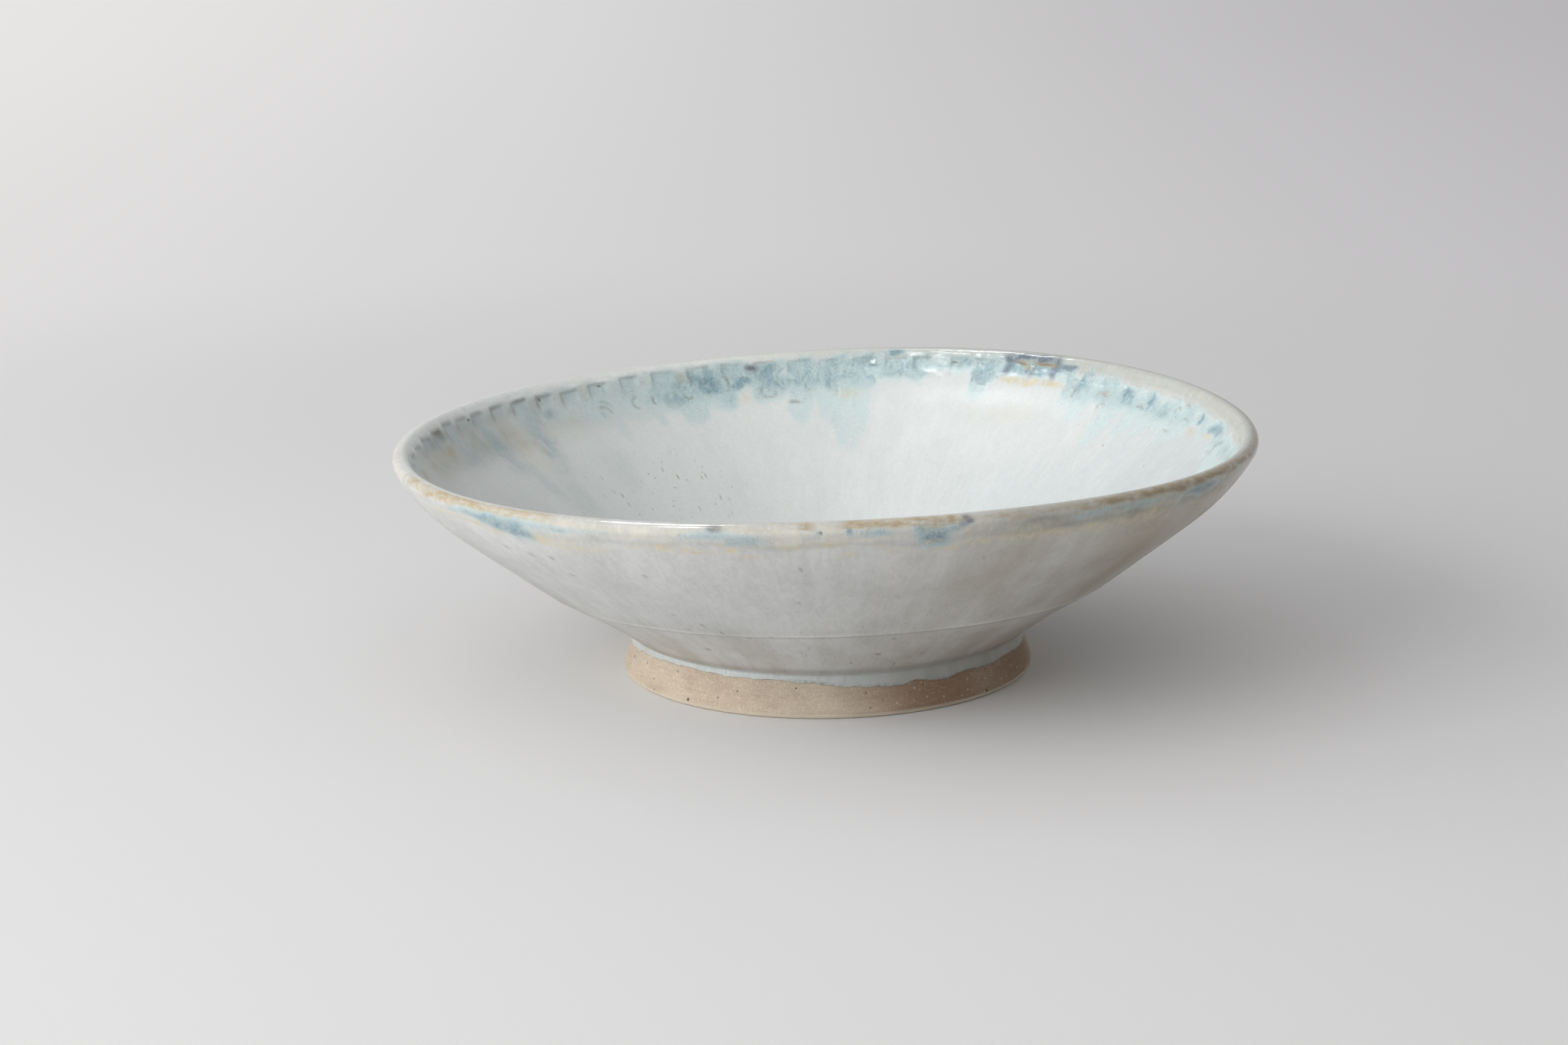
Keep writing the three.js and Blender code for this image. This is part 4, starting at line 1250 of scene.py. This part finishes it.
# %% A material that can be reckoned with
class Finish:
    """One material, and its Principled shader."""

    def __init__(self, name, values):
        self.material = bpy.data.materials.new(name)
        self.material.use_nodes = True
        self.tree = self.material.node_tree
        self.shader = self.tree.nodes["Principled BSDF"]
        self.feed(self.shader, values)

    def feed(self, node, inputs):
        for key, value in inputs.items():
            socket = node.inputs[key]
            if isinstance(value, Wire):
                self.tree.links.new(value.socket, socket)
            elif isinstance(value, tuple) and len(value) == 3 and socket.type == "RGBA":
                socket.default_value = (*value, 1)
            else:
                socket.default_value = value

    def add(self, kind, settings=None, inputs=None, output=0):
        node = self.tree.nodes.new("ShaderNode" + kind)
        for key, value in (settings or {}).items():
            setattr(node, key, value)
        self.feed(node, inputs or {})
        return Wire(self, node.outputs[output])

    def number(self, label):
        return self.add("Attribute", {"attribute_name": label}, output="Fac")

    def place(self):
        return self.add("TexCoord", output="Object")

    def scaled(self, vector, across, down):
        """A vector for noise: less than 1 draws the noise out round the bowl, or down the wall."""
        return self.add("Mapping", {}, {"Vector": vector, "Scale": (across, across, down)})

    def noise(self, size, detail=2.0, vector=None, rough=0.5, distortion=0.0):
        """Soft noise between 0 and 1 with spots of this size, in metres."""
        inputs = {"Vector": vector or self.place(), "Scale": 0.5 / size}
        inputs.update({"Detail": detail, "Roughness": rough, "Distortion": distortion})
        return self.add("TexNoise", {}, inputs)

    def grains(self, size, chance, radius, vector=None):
        """Round grains. A cell of this size holds one with this chance, and radius is a share of it."""
        inputs = {"Vector": vector or self.place(), "Scale": 1 / size}
        cell = self.add("TexVoronoi", {"feature": "F1"}, inputs)
        colour = Wire(self, cell.socket.node.outputs["Color"])
        lucky = self.add("SeparateColor", {}, {"Color": colour})
        return (1 - cell.above(radius * 0.4, radius)) * lucky.above(1 - chance, 1 - 0.6 * chance)

    def mix(self, factor, a, b, blend="MIX"):
        settings = {"data_type": "RGBA", "blend_type": blend}
        return self.add("Mix", settings, {0: factor, 6: a, 7: b}, output=2)

    def layered(self, colour, layers):
        """The colour under a list of layers. A layer is a factor, a colour and perhaps a blend."""
        for factor, tint, *blend in layers:
            colour = self.mix(factor, colour, tint, *blend)
        return colour

    def bump(self, height, distance, strength=1.0):
        return self.add("Bump", {}, {"Height": height, "Distance": distance, "Strength": strength})

    def give(self, piece):
        piece.data.materials.clear()
        piece.data.materials.append(self.material)
        print(f"{self.material.name}: {len(self.tree.nodes)} nodes on {piece.name}")


# %% [markdown]
# ## The glazes
#
# All three coats are one recipe with the same stains, so that a tongue of blue runs on
# without a break from the rim coat to the inner one. The order of the layers is the order
# in which the glazes lie: pale ground, cream, blue, then the strong cobalt and iron.
#
# Each stain's edge is broken by noise that is stretched down the wall, because a glaze
# runs. The glassy lip is the shiniest part. The inside is satin, with fine pits.

# %% Colours of the glazes, as they look in plain daylight, and tints of painted shade and light
GROUND_IN = (0.712, 0.738, 0.722)
# The ground inside where its painted shade is full.
GROUND_SHADE = (0.565, 0.600, 0.606)
GROUND_OUT = (0.645, 0.655, 0.645)
DUST_OUT = (0.530, 0.545, 0.538)
# A dark warm tint: the lower outer wall is mixed towards it, and the right side takes it as painted
# shade.
WARM_TINT_AND_SHADE = (0.400, 0.352, 0.268)
# The tint that darkens the lip.
DARKER_LIP_TINT = (0.74, 0.76, 0.76)
# The tint of the painted shade on the outer wall.
SHADE_TINT = (0.72, 0.715, 0.69)
DULL_TINT = (0.86, 0.85, 0.86)
CREAM = (0.640, 0.620, 0.535)
# The colour of the painted highlight above the turning ridge.
RIDGE_HIGHLIGHT_TINT = (0.700, 0.690, 0.650)
# The colour of the painted light on the lip.
LIP_LIGHT_TINT = (0.860, 0.895, 0.885)
GREY_GREEN = (0.440, 0.458, 0.418)
MILK_BLUE = (0.600, 0.690, 0.685)
PALE_BLUE = (0.495, 0.612, 0.620)
STEEL_BLUE = (0.320, 0.450, 0.490)
DEEP_BLUE = (0.165, 0.285, 0.350)
TEAL = (0.315, 0.430, 0.455)
INDIGO = (0.175, 0.215, 0.270)
OCHRE = (0.485, 0.390, 0.245)
AMBER = (0.620, 0.545, 0.370)
BROWN = (0.300, 0.235, 0.150)
RUST = (0.185, 0.150, 0.115)
# Dark brown of broken edges and hairlines, also used for painted shade in the crease, the hollows,
# under the rim coat and in the ridge.
BROWN_AND_SHADE_EDGE = (0.235, 0.222, 0.195)
SPECK = (0.220, 0.210, 0.185)
ROLL = (0.620, 0.670, 0.665)
# The roll's colour where its painted shade is full.
ROLL_SHADE = (0.262, 0.285, 0.265)
MARBLING = ((0.945, 0.948, 0.945), (1.055, 1.052, 1.055))     # darkest and lightest, as tints
GRAIN = ((0.93, 0.93, 0.925), (1.07, 1.07, 1.07))
BLUE_STEPS = [     # from which depth to which each blue takes over
    (0.0, 0.28, MILK_BLUE), (0.22, 0.52, PALE_BLUE), (0.46, 0.78, STEEL_BLUE), (0.72, 1.05, DEEP_BLUE),
]
print("blues:", len(BLUE_STEPS))


# %% The glaze recipe
def glaze(name):
    """One recipe for all three coats: the painted numbers tell them apart."""
    f = Finish(name, {"IOR": 1.5})
    number = f.number
    unrolled = f.add("Attribute", {"attribute_name": "unrolled"}, output="Vector")
    cloudy = f.noise(1.7 * MM, 5, f.scaled(unrolled, 1, 0.7), 0.62, 0.9)
    streak = f.noise(0.8 * MM, 3, f.scaled(unrolled, 1, 0.2), 0.6)
    smear = f.noise(0.9 * MM, 4, f.scaled(unrolled, 0.35, 1), 0.65)
    broad, curd, fine = f.noise(7 * MM, 3), f.noise(0.55 * MM, 3, rough=0.65), f.noise(0.22 * MM, 2)
    curl = f.noise(1.3 * MM, 2, rough=0.5, distortion=2.0)
    vein = 1 - (curl - 0.5).size().above(0.0, 0.05)
    hair = (1 - (curl - 0.57).size().above(0.0, 0.035)) * broad.above(0.4, 0.56)
    swing = (cloudy - 0.5) * 1.15 + (streak - 0.5) * 0.3

    def stain(label, body=0.9, contrast=2.4, pattern=cloudy):
        """A painted stain, thicker and thinner with a noise pattern."""
        return number(label) * (body + (pattern - 0.5) * contrast)

    # The second number is the painted shade of the inside, darker on the half that faces the windows.
    side, painted_shade_side = number("side"), number("shade")
    shade = (number("tone") - 0.5) * 1.6 + (broad - 0.5) * 0.8 + (streak - 0.5) * 0.35
    ground_in = f.mix(painted_shade_side + shade * 0.35, GROUND_IN, GROUND_SHADE)
    ground = f.mix(side, ground_in, f.mix(0.4 + shade, GROUND_OUT, DUST_OUT))
    depth = number("blue") * (1 + swing * 1.5 + (broad - 0.5) * 0.5 + (curd - 0.5) * 0.7)
    specks = f.grains(5.0 * MM, 0.12, 0.1)
    scars = f.grains(2.8 * MM, 0.48, 0.24, f.scaled(unrolled, 1, 0.35)) + f.grains(2.6 * MM, 0.42, 0.2)
    scars = scars * number("pitted")
    marbling = (cloudy - 0.5) * (side * 2.6 + painted_shade_side * 0.9 + 0.9)
    marbling = marbling + (streak - 0.5) * (side * 1.2 + painted_shade_side * 1.5 + 0.5) + 0.5
    grain = (curd - 0.5) * 1.2 + (fine - 0.5) * 0.8 + 0.5
    colour = f.layered(ground, [
        (number("low") * (0.25 + shade * 0.6), WARM_TINT_AND_SHADE),
        # Painted shade with a warm tint on the right of the outer wall.
        (number("warm") * (0.78 + shade * 0.5), WARM_TINT_AND_SHADE),
        # Painted light on the inside of the lip on the left.
        (number("lip_pale") * (0.85 + swing * 1.6), LIP_LIGHT_TINT),
        (number("grey") * (0.8 + swing), GREY_GREEN),
        (stain("cream", 0.8), CREAM),
        *((depth.above(low, high), tint) for low, high, tint in BLUE_STEPS),
        (side * depth.above(0.0, 0.3), DULL_TINT, "MULTIPLY"),
        (vein * depth * 0.7, STEEL_BLUE),
        (hair * (depth + number("cream") * 0.3), BROWN_AND_SHADE_EDGE),
        (number("pool") * 0.12, STEEL_BLUE),
        (stain("teal", 0.7), TEAL),
        (stain("indigo"), INDIGO),
        (stain("ochre", 0.8, 2.6, smear), OCHRE),
        (stain("amber", 0.95, 6), AMBER),
        (stain("brown", 0.8, 3.4, smear), BROWN),
        (number("rust") * (0.5 + curd), RUST),
        # The lines are the marks' and stamps' edges, and painted shade in the hollows, under the rim
        # coat and in the ridge.
        (number("line") * (0.25 + curd * 1.2), BROWN_AND_SHADE_EDGE),
        # Painted shade in the groove above the roll.
        (number("crease") * 0.45, BROWN_AND_SHADE_EDGE),
        # The roll, with painted shade on its right side.
        (number("roll") * (0.75 + swing * 0.8), f.mix(number("roll_dim"), ROLL, ROLL_SHADE)),
        (number("fringe") * (0.2 + (cloudy - 0.4) * 4), f.mix(curd * 2.0 - 0.5, DEEP_BLUE, BROWN)),
        # The painted highlight above the turning ridge.
        (number("worn") * 0.65, RIDGE_HIGHLIGHT_TINT),
        (number("thin"), DARKER_LIP_TINT, "MULTIPLY"),
        # Painted shade on the outer wall.
        (number("dim"), SHADE_TINT, "MULTIPLY"),
        (specks * 0.6 + scars * 0.75, SPECK),
        (1.0, f.mix(marbling, *MARBLING), "MULTIPLY"),
        (1.0, f.mix(grain, *GRAIN), "MULTIPLY"),
    ])
    gloss = number("gloss")
    rough = 0.52 - side * 0.14 - gloss * 0.2 - number("lip") * 0.12 - number("wet") * 0.17
    rough = rough + (broad - 0.5) * 0.1 + (fine - 0.5) * 0.05
    holes = f.grains(1.5 * MM, 0.16, 0.14) * (1 - gloss)
    height = f.noise(2.2 * MM, 2) * 0.6 + curd * 0.25 + fine * 0.1
    height = height - holes * 0.9 - specks * 0.3 - scars * 0.5
    normal = f.bump(height, 0.12 * MM, 0.8)
    f.feed(f.shader, {"Base Color": colour, "Roughness": rough, "Normal": normal})
    return f


# %% Glaze the three coats
UNROLLED_RADIUS = 0.15       # one size for the whole wall keeps the noise from shrinking downwards


def unroll(piece):
    """A vector that runs round the bowl and down the wall, for noise that follows a run."""
    turn = np.radians(polar(places(piece))[1])
    ring = UNROLLED_RADIUS * np.stack([np.cos(turn), np.sin(turn)], 1)
    vector = np.column_stack([ring, read(piece, "distance")])
    layer = piece.data.attributes.new("unrolled", "FLOAT_VECTOR", "POINT")
    layer.data.foreach_set("vector", vector.astype(np.float32).ravel())


for shell in (inner_coat, rim_coat, outer_coat):
    unroll(shell)
    glaze(shell.name.replace("coat", "glaze")).give(shell)

# %% [markdown]
# ## The bare clay
#
# The clay is a buff stoneware with pale grog, which is crushed fired clay. On the trimmed
# foot the grains lie open, and some were torn out and left small dark pits. One part of
# the foot took a reddish brown flash in the kiln.

# %% The clay's finish
BUFF = (0.520, 0.440, 0.345)
BUFF_DARK = (0.430, 0.352, 0.268)
FLASHED = (0.270, 0.180, 0.118)
GROG = (0.620, 0.555, 0.450)
PIT = (0.085, 0.065, 0.048)
SCORED = ((0.86, 0.85, 0.84), (1.12, 1.12, 1.12))     # darkest and lightest, as tints


def clay(name):
    """Buff clay with grog, pits, fine scores from the tool, and the painted flash and edge."""
    f = Finish(name, {"IOR": 1.45})
    broad, grain, fine = f.noise(6 * MM, 3), f.noise(0.8 * MM, 4, rough=0.7), f.noise(0.25 * MM, 2)
    grog = f.grains(2.1 * MM, 0.4, 0.26)
    small = f.grains(1.0 * MM, 0.45, 0.34)
    pits = f.grains(2.3 * MM, 0.28, 0.17) + f.grains(7 * MM, 0.35, 0.11)
    scores = f.noise(0.45 * MM, 3, f.scaled(f.place(), 0.08, 1), 0.6)
    scored = f.mix((scores - 0.5) * 1.4 + (fine - 0.5) * 1.6 + 0.5, *SCORED)
    colour = f.layered(f.mix(broad.above(0.38, 0.7) * 0.65, BUFF, BUFF_DARK), [
        ((f.number("flash") + (grain - 0.5) * 0.7).above(0.1, 1.0), FLASHED),
        ((grain - 0.5) * 0.9 + (fine - 0.5) * 0.5, (1, 1, 1), "OVERLAY"),
        (1.0, scored, "MULTIPLY"),
        (grog * 0.6 + small * 0.4, GROG),
        (f.number("edge") * (0.35 + scores), GROG),
        (pits * 0.9, PIT),
    ])
    height = grain * 0.5 + fine * 0.25 + scores * 0.5 + grog * 0.25 - pits * 1.3
    rough = 0.82 + (fine - 0.5) * 0.15
    normal = f.bump(height, 0.2 * MM, 1.0)
    f.feed(f.shader, {"Base Color": colour, "Roughness": rough, "Normal": normal})
    return f


# %% Paint the flash and the worn edge, and give the clay its finish
FLASH_CENTRE = 318           # degrees round the foot
SCORCH_HEIGHT = 11 * MM      # the lower part is a little darker in places

for piece in (foot, clay_body):
    co = places(piece)
    radius, degrees = polar(co)
    height = co[:, 2]
    flash = 1 - rise(abs(turn_from(degrees, FLASH_CENTRE)), 12, 62)
    flash = flash * (0.84 + 0.2 * cloud(61, degrees, height, 14, 8 * MM))
    scorched = rise(SCORCH_HEIGHT - height, 0, 10 * MM) * rise(wander(62, degrees, 30), 0, 1)
    flash = flash + 0.35 * scorched
    write(piece, "flash", np.clip(flash, 0, 1) * (radius > 69 * MM))
    write(piece, "edge", rise(radius, 73 * MM, 73.7 * MM) * (1 - rise(height, 1.1 * MM, 2.0 * MM)))
    clay(piece.name.replace("_clay", "") + "_finish").give(piece)

# %% [markdown]
# ## The floor's finish
#
# The floor is plain and pale. Far from the bowl it turns into a glowing backdrop with painted
# light, lighter on the left and darker on the right, which the camera and the reflections see
# as a colour of its own, and which gives no light.

# %% The floor's finish
FLOOR_TONES = ((0.735, 0.728, 0.730), (0.753, 0.746, 0.748))
# Painted light on the glowing backdrop: lighter on the left, darker on the right.
BACKDROP_LIT_LEFT, BACKDROP_SHADED_RIGHT = (0.80, 0.79, 0.785), (0.47, 0.46, 0.475)
BACKDROP_HALF = 1.1          # metres from the middle to where each colour is full
PLAIN_FLOOR = 0.32           # metres from the bowl, to where the floor is all floor
PLAIN_BACKDROP = 1.0         # and from where it is all backdrop

ground = Finish("floor_paint", {"Roughness": 0.85})
place = ground.place()
ground.feed(ground.shader, {"Base Color": ground.mix(ground.noise(0.3, 2), *FLOOR_TONES)})
across = ground.add("SeparateXYZ", {}, {"Vector": place}).above(-BACKDROP_HALF, BACKDROP_HALF)
shown = {"Color": ground.mix(across, BACKDROP_LIT_LEFT, BACKDROP_SHADED_RIGHT), "Strength": 1.0}
# The backdrop glows with its painted light.
glowing_backdrop = ground.add("Emission", {}, shown)
path = ground.add("LightPath").socket.node
from_camera = Wire(ground, path.outputs["Is Camera Ray"])
from_gloss = Wire(ground, path.outputs["Is Glossy Ray"])
seen = from_camera.math("MAXIMUM", from_camera, from_gloss)
far = ground.add("VectorMath", {"operation": "LENGTH"}, {0: place}, output="Value")
blend = ground.add("MixShader", {}, {0: far.above(PLAIN_FLOOR, PLAIN_BACKDROP) * seen, 2: glowing_backdrop})
ground.tree.links.new(ground.shader.outputs[0], blend.socket.node.inputs[1])
ground.tree.links.new(blend.socket, ground.tree.nodes["Material Output"].inputs["Surface"])
ground.give(floor)
